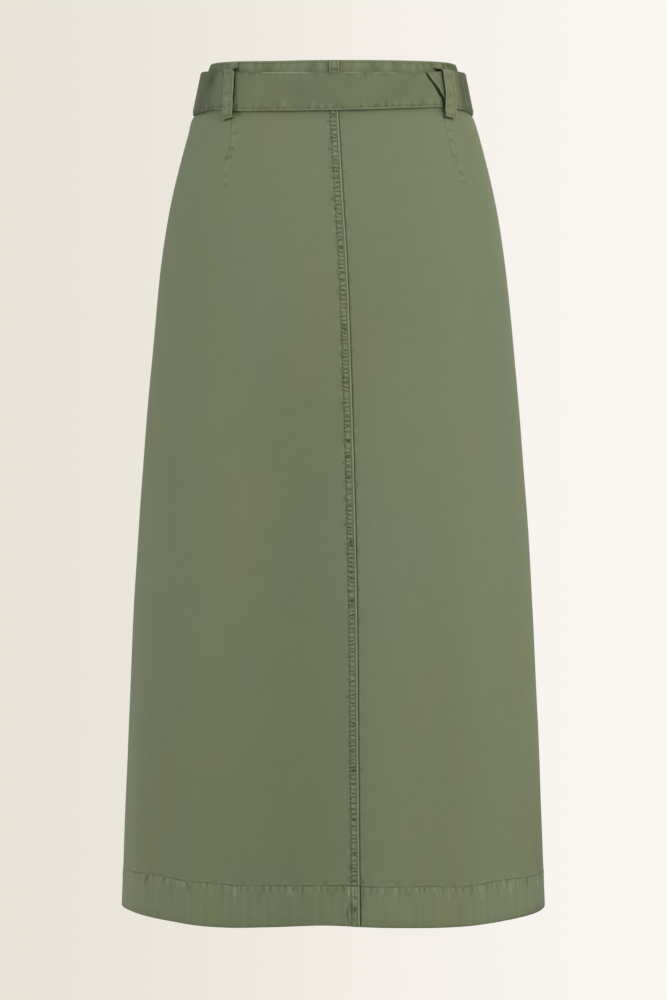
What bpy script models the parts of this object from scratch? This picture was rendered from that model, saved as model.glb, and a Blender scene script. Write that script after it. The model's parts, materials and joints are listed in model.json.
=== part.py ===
"""A belted A-line midi skirt in washed cotton twill, filled out as when worn and hollow.

Metres, +Z up. The wearer faces +Y and the wearer's right is +X. The origin is the centre of the
waist opening. Angles are degrees round the body: 0 is the centre back, 90 the wearer's right side
and 180 the centre front. Every piece is a wall that follows one of two forms, the garment's or
the belt's, and pieces that are sewn together keep a small gap.
"""

import math
from typing import NamedTuple

import bpy
from mathutils import Vector

MM = 0.001

# Driving dimensions, in millimetres
SEAM_GAP = 0.35
WAIST_TOP = 19.5
WAIST_SEAM = -20.5
HEM_STITCH = -764.0
HEM_EDGE = -804.5
BODY_CLOTH = 1.2
HEM_CLOTH = 2.4
WAISTBAND_CLOTH = 2.4
BELT_CLOTH = 1.8
LOOP_CLOTH = 1.3
FELL_WIDTH = 9.5
FELL_RAISE = 0.8
SIDE_SEAM_ANGLE = 96.0
WAIST_UNDERLAP_ANGLE = 14.0
BELT_TAIL_ANGLE = 52.0

# Shares of the section's half width and depth, at equal steps from the centre back to the side.
QUARTER_STEP = 15.0
# The front hangs rounder than the back.
FRONT_SQUARENESS_SHARE = 0.6


class Quarter(NamedTuple):
    across: float
    deep: float


FLAT_QUARTER = (
    Quarter(0.00, 0.985),
    Quarter(0.25, 1.00),
    Quarter(0.48, 0.995),
    Quarter(0.665, 0.90),
    Quarter(0.82, 0.65),
    Quarter(0.95, 0.31),
    Quarter(1.00, 0.00),
)


class Section(NamedTuple):
    """A level section. squareness runs from 0, an ellipse, to 1, flat at the back."""

    height: float
    half_width: float
    back_depth: float
    front_depth: float
    squareness: float
    back_seam_angle: float


GARMENT = (
    Section(19.5, 119.2, 88.0, 86.0, 0.30, 1.8),
    Section(-20.5, 131.6, 96.5, 93.0, 0.30, 2.4),
    Section(-29.0, 133.8, 98.4, 94.5, 0.30, 2.6),
    Section(-36.0, 137.4, 100.8, 96.0, 0.30, 2.7),
    Section(-69.0, 146.9, 111.0, 101.0, 0.32, 3.2),
    Section(-117.0, 158.3, 123.5, 107.0, 0.36, 3.9),
    Section(-166.0, 166.6, 132.5, 112.0, 0.42, 4.7),
    Section(-215.0, 172.2, 137.5, 115.5, 0.50, 5.2),
    Section(-338.0, 183.5, 141.0, 121.5, 0.68, 6.1),
    Section(-484.0, 194.0, 142.5, 127.5, 0.84, 6.8),
    Section(-633.0, 201.3, 144.0, 133.0, 0.94, 7.3),
    Section(-804.5, 208.2, 145.5, 139.0, 1.00, 7.6),
)

# The belt is straighter than the waist, so it stands away from its top at the sides.
BELT = (
    Section(20.0, 124.9, 90.0, 88.1, 0.30, 0.0),
    Section(-40.0, 137.3, 103.5, 99.3, 0.30, 0.0),
)


class BeltEdge(NamedTuple):
    """Heights of the belt's two edges at an angle, and how far its cloth is pushed out there."""

    angle: float
    low: float
    high: float
    low_out: float
    high_out: float


BELT_EDGES = (
    BeltEdge(-180.0, -29.0, 8.0, 0.0, 0.0),
    BeltEdge(-90.0, -31.0, 10.0, 0.2, 0.0),
    BeltEdge(-72.0, -29.3, 10.8, 0.2, 0.3),
    BeltEdge(-58.0, -26.7, 10.0, 0.0, 0.3),
    BeltEdge(-42.0, -28.8, 8.4, 0.0, 0.0),
    BeltEdge(0.0, -28.6, 7.8, 0.0, 0.0),
    BeltEdge(36.0, -26.0, 7.9, 0.0, 0.2),
    BeltEdge(44.0, -25.2, 8.2, 0.0, 2.2),
    BeltEdge(52.0, -24.6, 9.4, 0.0, 2.4),
    BeltEdge(63.0, -25.6, 10.8, 0.2, 0.6),
    BeltEdge(78.0, -28.6, 10.6, 0.5, 0.2),
    BeltEdge(90.0, -31.0, 10.0, 0.6, 0.0),
    BeltEdge(135.0, -29.0, 8.4, 0.0, 0.0),
    BeltEdge(240.0, -29.0, 8.0, 0.0, 0.0),
)


class StrapLift(NamedTuple):
    """How far the belt's inner face lies outside the belt's form, past the wearer's right."""

    angle: float
    out: float


STRAP_LIFTS = (
    StrapLift(-181.0, 0.0),
    StrapLift(172.6, 0.0),
    StrapLift(178.4, 6.8),
    StrapLift(181.6, 6.8),
    StrapLift(186.4, 2.6),
    StrapLift(240.0, 2.6),
)


class Loop(NamedTuple):
    """A belt loop: its angles at the waist's top and at its lower end, which may be hidden."""

    name: str
    top_angle: float
    low_angle: float
    width: float
    low_end: float
    strap_layers: int


LOOPS = (
    Loop("loop_back_left", -51.5, -47.0, 11.5, -36.5, 1),
    Loop("loop_back_centre", 0.3, 0.3, 9.5, -19.5, 0),
    Loop("loop_back_right", 59.5, 54.5, 13.5, -36.5, 1),
    Loop("loop_front_right", 128.0, 129.0, 11.0, -36.5, 1),
    Loop("loop_front_left", -128.0, -129.0, 11.0, -36.5, 2),
)


class LoopStep(NamedTuple):
    """A stretch of a loop's path: height, and the share of the way out over the belt."""

    height: float
    over_belt: float


LOOP_PATH = (
    LoopStep(18.6, 0.0),
    LoopStep(15.5, 0.0),
    LoopStep(13.2, 0.15),
    LoopStep(11.6, 1.0),
    LoopStep(4.0, 1.0),
    LoopStep(-10.0, 1.0),
    LoopStep(-22.0, 1.0),
    LoopStep(-31.2, 1.0),
    LoopStep(-33.6, 0.15),
    LoopStep(-36.5, 0.0),
)

# The slide buckle: a frame with a middle bar, tilted because the strap's end lies on the strap.
BUCKLE_HALF_LENGTH = 22.0
BUCKLE_LOW = -36.5
BUCKLE_HIGH = 15.5
BUCKLE_BAR = 4.0
BUCKLE_MIDDLE_BAR = 3.0
BUCKLE_THICKNESS = 2.4
BUCKLE_OUT_RIGHT = 2.3
BUCKLE_OUT_LEFT = 5.4
BUCKLE_BEVEL = 0.6

CLOTH_COLOUR = (0.175, 0.205, 0.120, 1.0)
BELT_COLOUR = (0.165, 0.193, 0.112, 1.0)
METAL_COLOUR = (0.20, 0.17, 0.12, 1.0)


def hermite(rows, column, place):
    """A smooth curve through one column of a table whose first column runs one way."""
    keys = [row[0] for row in rows]
    values = [getattr(row, column) for row in rows]
    if keys[0] > keys[-1]:
        keys.reverse()
        values.reverse()
    place = min(max(place, keys[0]), keys[-1])
    last = len(keys) - 2
    i = min(max(sum(key <= place for key in keys) - 1, 0), last)
    step = keys[i + 1] - keys[i]
    t = (place - keys[i]) / step

    def slope(j):
        before = max(j - 1, 0)
        after = min(j + 1, len(keys) - 1)
        return (values[after] - values[before]) / (keys[after] - keys[before])

    return (
        (2 * t**3 - 3 * t**2 + 1) * values[i]
        + (t**3 - 2 * t**2 + t) * step * slope(i)
        + (-2 * t**3 + 3 * t**2) * values[i + 1]
        + (t**3 - t**2) * step * slope(i + 1)
    )


def linear(rows, column, place):
    """Straight lines through one column of a table whose first column rises."""
    for low, high in zip(rows, rows[1:]):
        if place <= high[0]:
            t = max((place - low[0]) / (high[0] - low[0]), 0.0)
            return getattr(low, column) * (1 - t) + getattr(high, column) * t
    return getattr(rows[-1], column)


def quarter_share(angle):
    """The flat quarter's shares at 0 to 90 degrees, smoothed through its rows."""
    place = angle / QUARTER_STEP
    i = min(int(place), len(FLAT_QUARTER) - 2)
    t = place - i

    def row(j):
        if j < 0:
            return Quarter(-FLAT_QUARTER[-j].across, FLAT_QUARTER[-j].deep)
        if j >= len(FLAT_QUARTER):
            mirrored = FLAT_QUARTER[2 * (len(FLAT_QUARTER) - 1) - j]
            return Quarter(mirrored.across, -mirrored.deep)
        return FLAT_QUARTER[j]

    def curve(k):
        p0, p1, p2, p3 = (row(i + step)[k] for step in (-1, 0, 1, 2))
        squared = 2 * p0 - 5 * p1 + 4 * p2 - p3
        cubed = 3 * (p1 - p2) + p3 - p0
        return p1 + 0.5 * t * (p2 - p0 + t * (squared + t * cubed))

    return curve(0), curve(1)


def surface(form, angle, height):
    """The point of a form's outer face at an angle and a height, both in their tables' units."""
    turned = (angle + 180.0) % 360.0 - 180.0
    from_back = abs(turned)
    in_front = from_back > 90.0
    quarter = 180.0 - from_back if in_front else from_back
    flat_across, flat_deep = quarter_share(quarter)
    square = hermite(form, "squareness", height)
    if in_front:
        square *= FRONT_SQUARENESS_SHARE
    across = (1 - square) * math.sin(math.radians(quarter)) + square * flat_across
    deep = (1 - square) * math.cos(math.radians(quarter)) + square * flat_deep
    half_width = hermite(form, "half_width", height)
    depth = hermite(form, "front_depth" if in_front else "back_depth", height)
    x = math.copysign(across * half_width, turned)
    y = deep * depth if in_front else -deep * depth
    return Vector((x, y, height))


ANGLE_PROBE = 0.4


def along(form, angle, height):
    """The way round the form at a point, per degree of angle."""
    ahead = surface(form, angle + ANGLE_PROBE, height)
    behind = surface(form, angle - ANGLE_PROBE, height)
    return (ahead - behind) / (2 * ANGLE_PROBE)


def offset(form, angle, height, out):
    """The point at a distance outside a form's face, level with it."""
    way = along(form, angle, height)
    return surface(form, angle, height) + Vector((way.y, -way.x, 0.0)).normalized() * out


def degrees_for(form, angle, height, length):
    return length / along(form, angle, height).length


def material(name, colour, roughness, metallic):
    made = bpy.data.materials.new(name)
    made.use_nodes = True
    shader = made.node_tree.nodes["Principled BSDF"]
    shader.inputs["Base Color"].default_value = colour
    shader.inputs["Roughness"].default_value = roughness
    shader.inputs["Metallic"].default_value = metallic
    return made


SMOOTH_UP_TO_ANGLE = 40.0


def make_object(name, points, faces, finish):
    mesh = bpy.data.meshes.new(name)
    mesh.from_pydata([point * MM for point in points], [], faces)
    mesh.materials.append(finish)
    mesh.shade_smooth()
    mesh.set_sharp_from_angle(angle=math.radians(SMOOTH_UP_TO_ANGLE))
    made = bpy.data.objects.new(name, mesh)
    bpy.context.scene.collection.objects.link(made)
    return made


def make_wall(name, outer, inner, finish):
    """A closed wall between two grids of points, whose rows run down and columns round."""
    rows, columns = len(outer), len(outer[0])
    points = [p for grid in (outer, inner) for row in grid for p in row]

    def at(layer, row, column):
        return (layer * rows + row) * columns + column

    faces = []
    for i in range(rows - 1):
        for j in range(columns - 1):
            faces.append((at(0, i, j), at(0, i + 1, j), at(0, i + 1, j + 1), at(0, i, j + 1)))
            faces.append((at(1, i, j), at(1, i, j + 1), at(1, i + 1, j + 1), at(1, i + 1, j)))
    for j in range(columns - 1):
        last = rows - 1
        faces.append((at(0, 0, j), at(0, 0, j + 1), at(1, 0, j + 1), at(1, 0, j)))
        faces.append((at(0, last, j), at(1, last, j), at(1, last, j + 1), at(0, last, j + 1)))
    for i in range(rows - 1):
        last = columns - 1
        faces.append((at(0, i, 0), at(1, i, 0), at(1, i + 1, 0), at(0, i + 1, 0)))
        faces.append((at(0, i, last), at(0, i + 1, last), at(1, i + 1, last), at(1, i, last)))
    return make_object(name, points, faces, finish)


PANEL_ROWS = 17
PANEL_COLUMNS = 13
HEM_ROWS = 2
ROW_CROWDING = 1.6


def panel_rows():
    """Heights and thicknesses down a panel, close together below the waist and doubled at the hem."""
    top = WAIST_SEAM - SEAM_GAP
    rows = []
    for i in range(PANEL_ROWS + 1):
        rows.append((top + (HEM_STITCH - top) * (i / PANEL_ROWS) ** ROW_CROWDING, BODY_CLOTH))
    rows.append((HEM_STITCH - BODY_CLOTH, HEM_CLOTH))
    for i in range(1, HEM_ROWS + 1):
        rows.append((HEM_STITCH + (HEM_EDGE - HEM_STITCH) * i / HEM_ROWS, HEM_CLOTH))
    return rows


def panel_columns(height, first, last, felled):
    """Angles and outward steps across a panel. A felled one is raised beside its last edge."""
    gap = degrees_for(GARMENT, first, height, SEAM_GAP / 2)
    first, last = first + gap, last - gap
    raised = []
    if felled:
        fell = degrees_for(GARMENT, last, height, FELL_WIDTH)
        step = degrees_for(GARMENT, last, height, FELL_RAISE)
        raised = [(last - fell, FELL_RAISE), (last - fell / 2, FELL_RAISE), (last, FELL_RAISE)]
        last = last - fell - step
    plain = [(first + (last - first) * j / PANEL_COLUMNS, 0.0) for j in range(PANEL_COLUMNS + 1)]
    return plain + raised


def make_panel(name, ends, felled, finish):
    """ends(height) gives the angles of the panel's two edges, in rising order."""
    outer, inner = [], []
    for height, thickness in panel_rows():
        columns = panel_columns(height, *ends(height), felled)
        outer.append([offset(GARMENT, angle, height, out) for angle, out in columns])
        inner.append([offset(GARMENT, angle, height, -thickness) for angle, out in columns])
    return make_wall(name, outer, inner, finish)


def back_seam(height):
    return hermite(GARMENT, "back_seam_angle", height)


def make_panels(finish):
    make_panel("back_left", lambda h: (-SIDE_SEAM_ANGLE, back_seam(h)), True, finish)
    make_panel("back_right", lambda h: (back_seam(h), SIDE_SEAM_ANGLE), False, finish)
    make_panel("front_right", lambda h: (SIDE_SEAM_ANGLE, 180.0), True, finish)
    make_panel("front_left", lambda h: (-180.0, -SIDE_SEAM_ANGLE), False, finish)


WAISTBAND_COLUMNS = 64
WAISTBAND_ROWS = 2
UNDERLAP_TURN_ANGLE = 5.0


def underlap_out(angle):
    """The wearer's left end of the waistband turns in and lies behind its right end."""
    behind = -(WAISTBAND_CLOTH + SEAM_GAP)
    turn = (-180.0 + UNDERLAP_TURN_ANGLE - angle) / UNDERLAP_TURN_ANGLE
    return behind * min(max(turn, 0.0), 1.0)


def make_waistband(finish):
    first = -180.0 - WAIST_UNDERLAP_ANGLE
    angles = [first + (180.0 - first) * j / WAISTBAND_COLUMNS for j in range(WAISTBAND_COLUMNS + 1)]
    turn_ends = [-180.0, -180.0 + UNDERLAP_TURN_ANGLE]
    angles = sorted(set(angles) | set(turn_ends))
    outer, inner = [], []
    for i in range(WAISTBAND_ROWS + 1):
        height = WAIST_TOP + (WAIST_SEAM - WAIST_TOP) * i / WAISTBAND_ROWS
        outer.append([offset(GARMENT, angle, height, underlap_out(angle)) for angle in angles])
        inner.append(
            [offset(GARMENT, angle, height, underlap_out(angle) - WAISTBAND_CLOTH) for angle in angles]
        )
    return make_wall("waistband", outer, inner, finish)


BELT_ROWS = 3
BELT_STEP_ANGLE = 4.0
BELT_FIRST_ANGLE = -180.6
BUCKLE_STEP_ANGLE = 0.8
BUCKLE_FIRST_ANGLE = 171.0
BUCKLE_LAST_ANGLE = 188.0


def belt_height(angle, share):
    """Height at a share of the way from the belt's upper edge to its lower one."""
    high = hermite(BELT_EDGES, "high", angle)
    low = hermite(BELT_EDGES, "low", angle)
    return high + (low - high) * share


def belt_out(angle, share):
    """How far the belt's inner face stands off the belt's form."""
    high_out = hermite(BELT_EDGES, "high_out", angle)
    low_out = hermite(BELT_EDGES, "low_out", angle)
    return high_out + (low_out - high_out) * share + linear(STRAP_LIFTS, "out", angle)


def belt_angles():
    """Steps along the strap, short where it goes through the buckle."""
    last = 180.0 + BELT_TAIL_ANGLE
    angles = [BELT_FIRST_ANGLE]
    while angles[-1] < last:
        near_buckle = BUCKLE_FIRST_ANGLE < angles[-1] < BUCKLE_LAST_ANGLE
        step = BUCKLE_STEP_ANGLE if near_buckle else BELT_STEP_ANGLE
        angles.append(min(angles[-1] + step, last))
    return angles


def make_belt(finish):
    outer, inner = [], []
    for i in range(BELT_ROWS + 1):
        share = i / BELT_ROWS
        places = [(angle, belt_height(angle, share), belt_out(angle, share)) for angle in belt_angles()]
        outer.append([offset(BELT, angle, height, out + BELT_CLOTH) for angle, height, out in places])
        inner.append([offset(BELT, angle, height, out) for angle, height, out in places])
    return make_wall("belt", outer, inner, finish)


LOOP_CLEARANCE = 0.8
LOOP_COLUMNS = 3


def loop_face(loop, angle, step, out):
    """A point of the loop, on the garment at its sewn ends and outside the belt between them."""
    on_garment = offset(GARMENT, angle, step.height, SEAM_GAP + out)
    if loop.strap_layers == 0:
        return on_garment
    share = (belt_height(angle, 0.0) - step.height) / (belt_height(angle, 0.0) - belt_height(angle, 1.0))
    stand_off = belt_out(angle, min(max(share, 0.0), 1.0)) + BELT_CLOTH
    if loop.strap_layers == 2:
        stand_off += STRAP_LIFTS[-1].out
    over_belt = offset(BELT, angle, step.height, stand_off + LOOP_CLEARANCE + out)
    return on_garment.lerp(over_belt, step.over_belt)


def make_loop(loop, finish):
    path = [step for step in LOOP_PATH if step.height > loop.low_end]
    path.append(LoopStep(loop.low_end, 0.0))
    outer, inner = [], []
    for step in path:
        share = (WAIST_TOP - step.height) / (WAIST_TOP - loop.low_end)
        middle = loop.top_angle + (loop.low_angle - loop.top_angle) * share
        half = degrees_for(GARMENT, middle, step.height, loop.width / 2)
        angles = [middle - half + 2 * half * j / LOOP_COLUMNS for j in range(LOOP_COLUMNS + 1)]
        outer.append([loop_face(loop, angle, step, LOOP_CLOTH) for angle in angles])
        inner.append([loop_face(loop, angle, step, 0.0) for angle in angles])
    return make_wall(loop.name, outer, inner, finish)


def buckle_point(across, height, out):
    """A point of the buckle: across is millimetres from its middle towards the wearer's left."""
    angle = 180.0 + degrees_for(BELT, 180.0, height, across)
    tilt = (across + BUCKLE_HALF_LENGTH) / (2 * BUCKLE_HALF_LENGTH)
    base = BUCKLE_OUT_RIGHT + (BUCKLE_OUT_LEFT - BUCKLE_OUT_RIGHT) * tilt
    return offset(BELT, angle, height, base + out)


def make_buckle(finish):
    """A plate on a grid of cells with two windows left out, so that its bars are one body."""
    half, bar = BUCKLE_HALF_LENGTH, BUCKLE_BAR
    half_middle = BUCKLE_MIDDLE_BAR / 2
    columns = [-half, -half + bar, -half_middle, half_middle, half - bar, half]
    rows = [BUCKLE_LOW, BUCKLE_LOW + bar, BUCKLE_HIGH - bar, BUCKLE_HIGH]
    windows = {(1, 1), (3, 1)}
    points, faces, numbers = [], [], {}

    def corner(column, row, layer):
        key = (column, row, layer)
        if key not in numbers:
            numbers[key] = len(points)
            points.append(buckle_point(columns[column], rows[row], layer * BUCKLE_THICKNESS))
        return numbers[key]

    def filled(column, row):
        inside = 0 <= column < len(columns) - 1 and 0 <= row < len(rows) - 1
        return inside and (column, row) not in windows

    for c in range(len(columns) - 1):
        for r in range(len(rows) - 1):
            if not filled(c, r):
                continue
            ring = [(c, r), (c, r + 1), (c + 1, r + 1), (c + 1, r)]
            faces.append([corner(*key, 1) for key in reversed(ring)])
            faces.append([corner(*key, 0) for key in ring])
            sides = (
                ((c - 1, r), (c, r), (c, r + 1)),
                ((c, r + 1), (c, r + 1), (c + 1, r + 1)),
                ((c + 1, r), (c + 1, r + 1), (c + 1, r)),
                ((c, r - 1), (c + 1, r), (c, r)),
            )
            for neighbour, start, end in sides:
                if not filled(*neighbour):
                    faces.append([corner(*start, 0), corner(*start, 1), corner(*end, 1), corner(*end, 0)])
    made = make_object("belt_buckle", points, faces, finish)
    bevel = made.modifiers.new("rounded_edges", "BEVEL")
    bevel.width = BUCKLE_BEVEL * MM
    bevel.segments = 2
    bevel.limit_method = "ANGLE"
    return made


def main():
    for old in list(bpy.data.objects):
        bpy.data.objects.remove(old)
    cloth = material("skirt_cloth", CLOTH_COLOUR, 0.85, 0.0)
    belt_cloth = material("belt_cloth", BELT_COLOUR, 0.85, 0.0)
    metal = material("buckle_metal", METAL_COLOUR, 0.4, 1.0)
    make_panels(cloth)
    make_waistband(cloth)
    make_belt(belt_cloth)
    for loop in LOOPS:
        make_loop(loop, cloth)
    make_buckle(metal)


main()
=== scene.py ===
"""A belted A-line midi skirt in washed cotton twill: its cloth, stitches, finishes, light and camera.

Sizes on the garment are in millimetres and become metres in the meshes. The wearer faces +Y and the
wearer's right is +X. Angles are degrees round the body: 0 is the centre back, 90 the wearer's right
side and 180 the centre front. Every piece follows one of two forms, the garment's or the belt's,
moved out by its own relief. Relief comes with paling and darkening of the cloth's colour: above 0
where washing has paled ridges and where painted highlights mark lit edges, and below 0 where dye
stays in furrows and where painted shade and painted shadow darken creases, grooves, gaps and the
cloth under other parts. In the relief functions the limits and widths given to bell, smooth and
window are in the unit of their first value: millimetres, degrees or shares.
"""

import json
import math
from typing import NamedTuple

import bpy
import numpy as np
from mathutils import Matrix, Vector


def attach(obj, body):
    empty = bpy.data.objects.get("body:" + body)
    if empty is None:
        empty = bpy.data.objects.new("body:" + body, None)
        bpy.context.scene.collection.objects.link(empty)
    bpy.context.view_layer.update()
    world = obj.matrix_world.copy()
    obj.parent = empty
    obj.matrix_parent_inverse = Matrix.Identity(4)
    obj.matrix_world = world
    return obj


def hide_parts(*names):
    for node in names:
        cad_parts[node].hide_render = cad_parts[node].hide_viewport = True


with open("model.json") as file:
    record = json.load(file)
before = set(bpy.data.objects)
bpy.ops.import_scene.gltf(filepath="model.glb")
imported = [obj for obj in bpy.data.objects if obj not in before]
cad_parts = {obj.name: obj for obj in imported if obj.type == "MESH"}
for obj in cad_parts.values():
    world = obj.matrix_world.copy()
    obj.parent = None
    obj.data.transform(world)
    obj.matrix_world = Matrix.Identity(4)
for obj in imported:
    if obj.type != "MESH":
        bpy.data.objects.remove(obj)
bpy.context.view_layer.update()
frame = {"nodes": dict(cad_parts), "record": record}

MM = 0.001

# ---------------------------------------------------------------- driving dimensions

SEAM_GAP = 0.35
WAIST_TOP = 19.5
WAIST_SEAM = -20.5
HEM_STITCH = -764.0
HEM_EDGE = -804.5
BODY_CLOTH = 1.2
HEM_CLOTH = 2.4
WAISTBAND_CLOTH = 2.4
BELT_CLOTH = 1.8
LOOP_CLOTH = 1.3
FELL_WIDTH = 9.5
FELL_RAISE = 0.8
SIDE_SEAM_ANGLE = 96.0
WAIST_UNDERLAP_ANGLE = 14.0
UNDERLAP_TURN_ANGLE = 5.0
BELT_TAIL_ANGLE = 52.0
FRONT_SQUARENESS_SHARE = 0.6
STITCH_LENGTH = 2.5
STITCH_GAP = 0.9
STITCH_RADIUS = 0.27


class Section(NamedTuple):
    """A level section. squareness runs from 0, an ellipse, to 1, flat at the back."""

    height: float
    half_width: float
    back_depth: float
    front_depth: float
    squareness: float
    back_seam_angle: float


GARMENT = (
    Section(19.5, 119.2, 88.0, 86.0, 0.30, 1.8),
    Section(-20.5, 131.6, 96.5, 93.0, 0.30, 1.9),
    Section(-29.0, 133.8, 98.4, 94.5, 0.30, 2.1),
    Section(-36.0, 137.4, 100.8, 96.0, 0.30, 2.2),
    Section(-69.0, 146.9, 111.0, 101.0, 0.32, 2.8),
    Section(-117.0, 158.3, 123.5, 107.0, 0.36, 3.6),
    Section(-166.0, 166.6, 132.5, 112.0, 0.42, 4.5),
    Section(-215.0, 172.2, 137.5, 115.5, 0.50, 5.1),
    Section(-338.0, 183.5, 141.0, 121.5, 0.68, 6.1),
    Section(-484.0, 194.0, 142.5, 127.5, 0.84, 6.85),
    Section(-633.0, 201.3, 144.0, 133.0, 0.94, 7.05),
    Section(-804.5, 208.2, 145.5, 139.0, 1.00, 7.3),
)
BELT = (
    Section(20.0, 124.9, 90.0, 88.1, 0.30, 0.0),
    Section(-40.0, 137.3, 103.5, 99.3, 0.30, 0.0),
)


class Quarter(NamedTuple):
    """Shares of a flat-backed section's half width and depth, at an angle from its middle."""

    angle: float
    across: float
    deep: float


# The rows before 0 and after 90 degrees mirror their neighbours, so that the curve runs on smoothly.
FLAT_QUARTER = (
    Quarter(-15.0, -0.25, 1.00),
    Quarter(0.0, 0.00, 0.985),
    Quarter(15.0, 0.25, 1.00),
    Quarter(30.0, 0.48, 0.995),
    Quarter(45.0, 0.665, 0.90),
    Quarter(60.0, 0.82, 0.65),
    Quarter(75.0, 0.95, 0.31),
    Quarter(90.0, 1.00, 0.00),
    Quarter(105.0, 0.95, -0.31),
)


class BeltEdge(NamedTuple):
    """Heights of the belt's two edges at an angle, and how far its cloth is pushed out there."""

    angle: float
    low: float
    high: float
    low_out: float
    high_out: float


BELT_EDGES = (
    BeltEdge(-180.0, -29.0, 8.0, 0.0, 0.0),
    BeltEdge(-90.0, -31.0, 11.0, 0.7, 0.5),
    BeltEdge(-72.0, -29.3, 11.0, 0.5, 0.5),
    BeltEdge(-58.0, -26.7, 10.0, 0.0, 0.3),
    BeltEdge(-42.0, -28.8, 8.4, 0.0, 0.0),
    BeltEdge(0.0, -28.6, 7.8, 0.0, 0.0),
    BeltEdge(36.0, -26.0, 7.9, 0.0, 0.2),
    BeltEdge(44.0, -25.2, 8.2, 0.0, 2.2),
    BeltEdge(52.0, -24.6, 9.4, 0.0, 2.4),
    BeltEdge(63.0, -25.6, 10.8, 0.2, 0.6),
    BeltEdge(78.0, -28.6, 10.6, 0.0, 0.2),
    BeltEdge(90.0, -31.0, 10.0, -0.1, 0.0),
    BeltEdge(135.0, -29.0, 8.4, 0.0, 0.0),
    BeltEdge(240.0, -29.0, 8.0, 0.0, 0.0),
)


class Stop(NamedTuple):
    """One row of a short table: a value and the angle or height where it holds."""

    place: float
    value: float


# How far the belt's inner face lies outside the belt's form, by angle, past the wearer's right.
STRAP_LIFTS = (
    Stop(-181.0, 0.0),
    Stop(172.6, 0.0),
    Stop(178.4, 6.8),
    Stop(181.6, 6.8),
    Stop(186.4, 2.6),
    Stop(240.0, 2.6),
)


class Loop(NamedTuple):
    """A belt loop. strap_layers counts the belt's layers under it, and one with none is behind the belt.

    first_lift and last_lift tip its edges at the lower and the higher angle out. slant lowers its end
    at the lower angle. The sewn top is shifted by top_shift above the height shift_from.
    """

    name: str
    top_angle: float
    low_angle: float
    width: float
    low_end: float
    strap_layers: int
    top_shift: float
    shift_from: float
    first_lift: float
    last_lift: float
    slant: float


LOOPS = (
    Loop("loop_back_left", -51.3, -47.6, 13.2, -35.2, 1, -5.5, 9.0, 0.3, 1.9, 1.3),
    Loop("loop_back_centre", 0.3, 0.3, 9.5, -19.5, 0, 0.0, 10.0, 0.0, 0.0, 0.0),
    Loop("loop_back_right", 59.9, 54.9, 13.4, -33.8, 1, -3.6, -16.0, 1.2, 2.6, -0.9),
    Loop("loop_front_right", 128.0, 129.0, 11.0, -36.5, 1, 1.2, 10.0, 0.0, 0.8, 0.4),
    Loop("loop_front_left", -128.0, -129.0, 11.0, -36.5, 2, -1.4, 10.0, 0.8, 0.0, -0.4),
)

# A loop's share of the way out over the belt, by height.
LOOP_PATH = (
    Stop(18.6, 0.0),
    Stop(15.5, 0.0),
    Stop(12.8, 0.12),
    Stop(11.2, 1.0),
    Stop(4.0, 1.0),
    Stop(-10.0, 1.0),
    Stop(-22.0, 1.0),
    Stop(-31.2, 1.0),
    Stop(-33.6, 0.82),
    Stop(-36.5, 0.5),
)

# ---------------------------------------------------------------- the forms


def column_of(rows, name):
    return np.array([getattr(row, name) for row in rows])


def hermite(rows, name, place):
    """A smooth curve through one column of a table whose first column runs one way."""
    keys = np.array([row[0] for row in rows])
    values = column_of(rows, name)
    if keys[0] > keys[-1]:
        keys, values = keys[::-1], values[::-1]
    place = np.clip(place, keys[0], keys[-1])
    i = np.clip(np.searchsorted(keys, place, side="right") - 1, 0, len(keys) - 2)
    before = np.maximum(np.arange(len(keys)) - 1, 0)
    after = np.minimum(np.arange(len(keys)) + 1, len(keys) - 1)
    slope = (values[after] - values[before]) / (keys[after] - keys[before])
    step = keys[i + 1] - keys[i]
    t = (place - keys[i]) / step
    return (
        (2 * t**3 - 3 * t**2 + 1) * values[i]
        + (t**3 - 2 * t**2 + t) * step * slope[i]
        + (-2 * t**3 + 3 * t**2) * values[i + 1]
        + (t**3 - t**2) * step * slope[i + 1]
    )


def surface(form, angle, height):
    """Points of a form's outer face at angles and heights."""
    angle, height = np.broadcast_arrays(np.asarray(angle, float), np.asarray(height, float))
    turned = (angle + 180.0) % 360.0 - 180.0
    from_back = np.abs(turned)
    in_front = from_back > 90.0
    quarter = np.where(in_front, 180.0 - from_back, from_back)
    square = hermite(form, "squareness", height) * np.where(in_front, FRONT_SQUARENESS_SHARE, 1.0)
    across = (1 - square) * np.sin(np.radians(quarter)) + square * hermite(FLAT_QUARTER, "across", quarter)
    deep = (1 - square) * np.cos(np.radians(quarter)) + square * hermite(FLAT_QUARTER, "deep", quarter)
    depth = np.where(in_front, hermite(form, "front_depth", height), hermite(form, "back_depth", height))
    x = np.copysign(across * hermite(form, "half_width", height), turned)
    y = np.where(in_front, deep, -deep) * depth
    return np.stack([x, y, height], axis=-1)


ANGLE_PROBE = 0.4


def along(form, angle, height):
    """The way round a form at a point, per degree of angle."""
    angle = np.asarray(angle, float)
    return (surface(form, angle + ANGLE_PROBE, height) - surface(form, angle - ANGLE_PROBE, height)) / (
        2 * ANGLE_PROBE
    )


def unit(vectors):
    return vectors / np.linalg.norm(vectors, axis=-1, keepdims=True)


def level_normal(form, angle, height):
    way = along(form, angle, height)
    return unit(np.stack([way[..., 1], -way[..., 0], np.zeros(way.shape[:-1])], axis=-1))


def offset(form, angle, height, out):
    """Points at a distance outside a form's face, level with it."""
    return surface(form, angle, height) + level_normal(form, angle, height) * np.asarray(out)[..., None]


def turned_by(angle, other):
    """How far an angle is past another, from -180 to 180."""
    return (angle - other + 180.0) % 360.0 - 180.0


def mm_per_degree(form, angle, height):
    return np.linalg.norm(along(form, angle, height), axis=-1)


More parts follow.
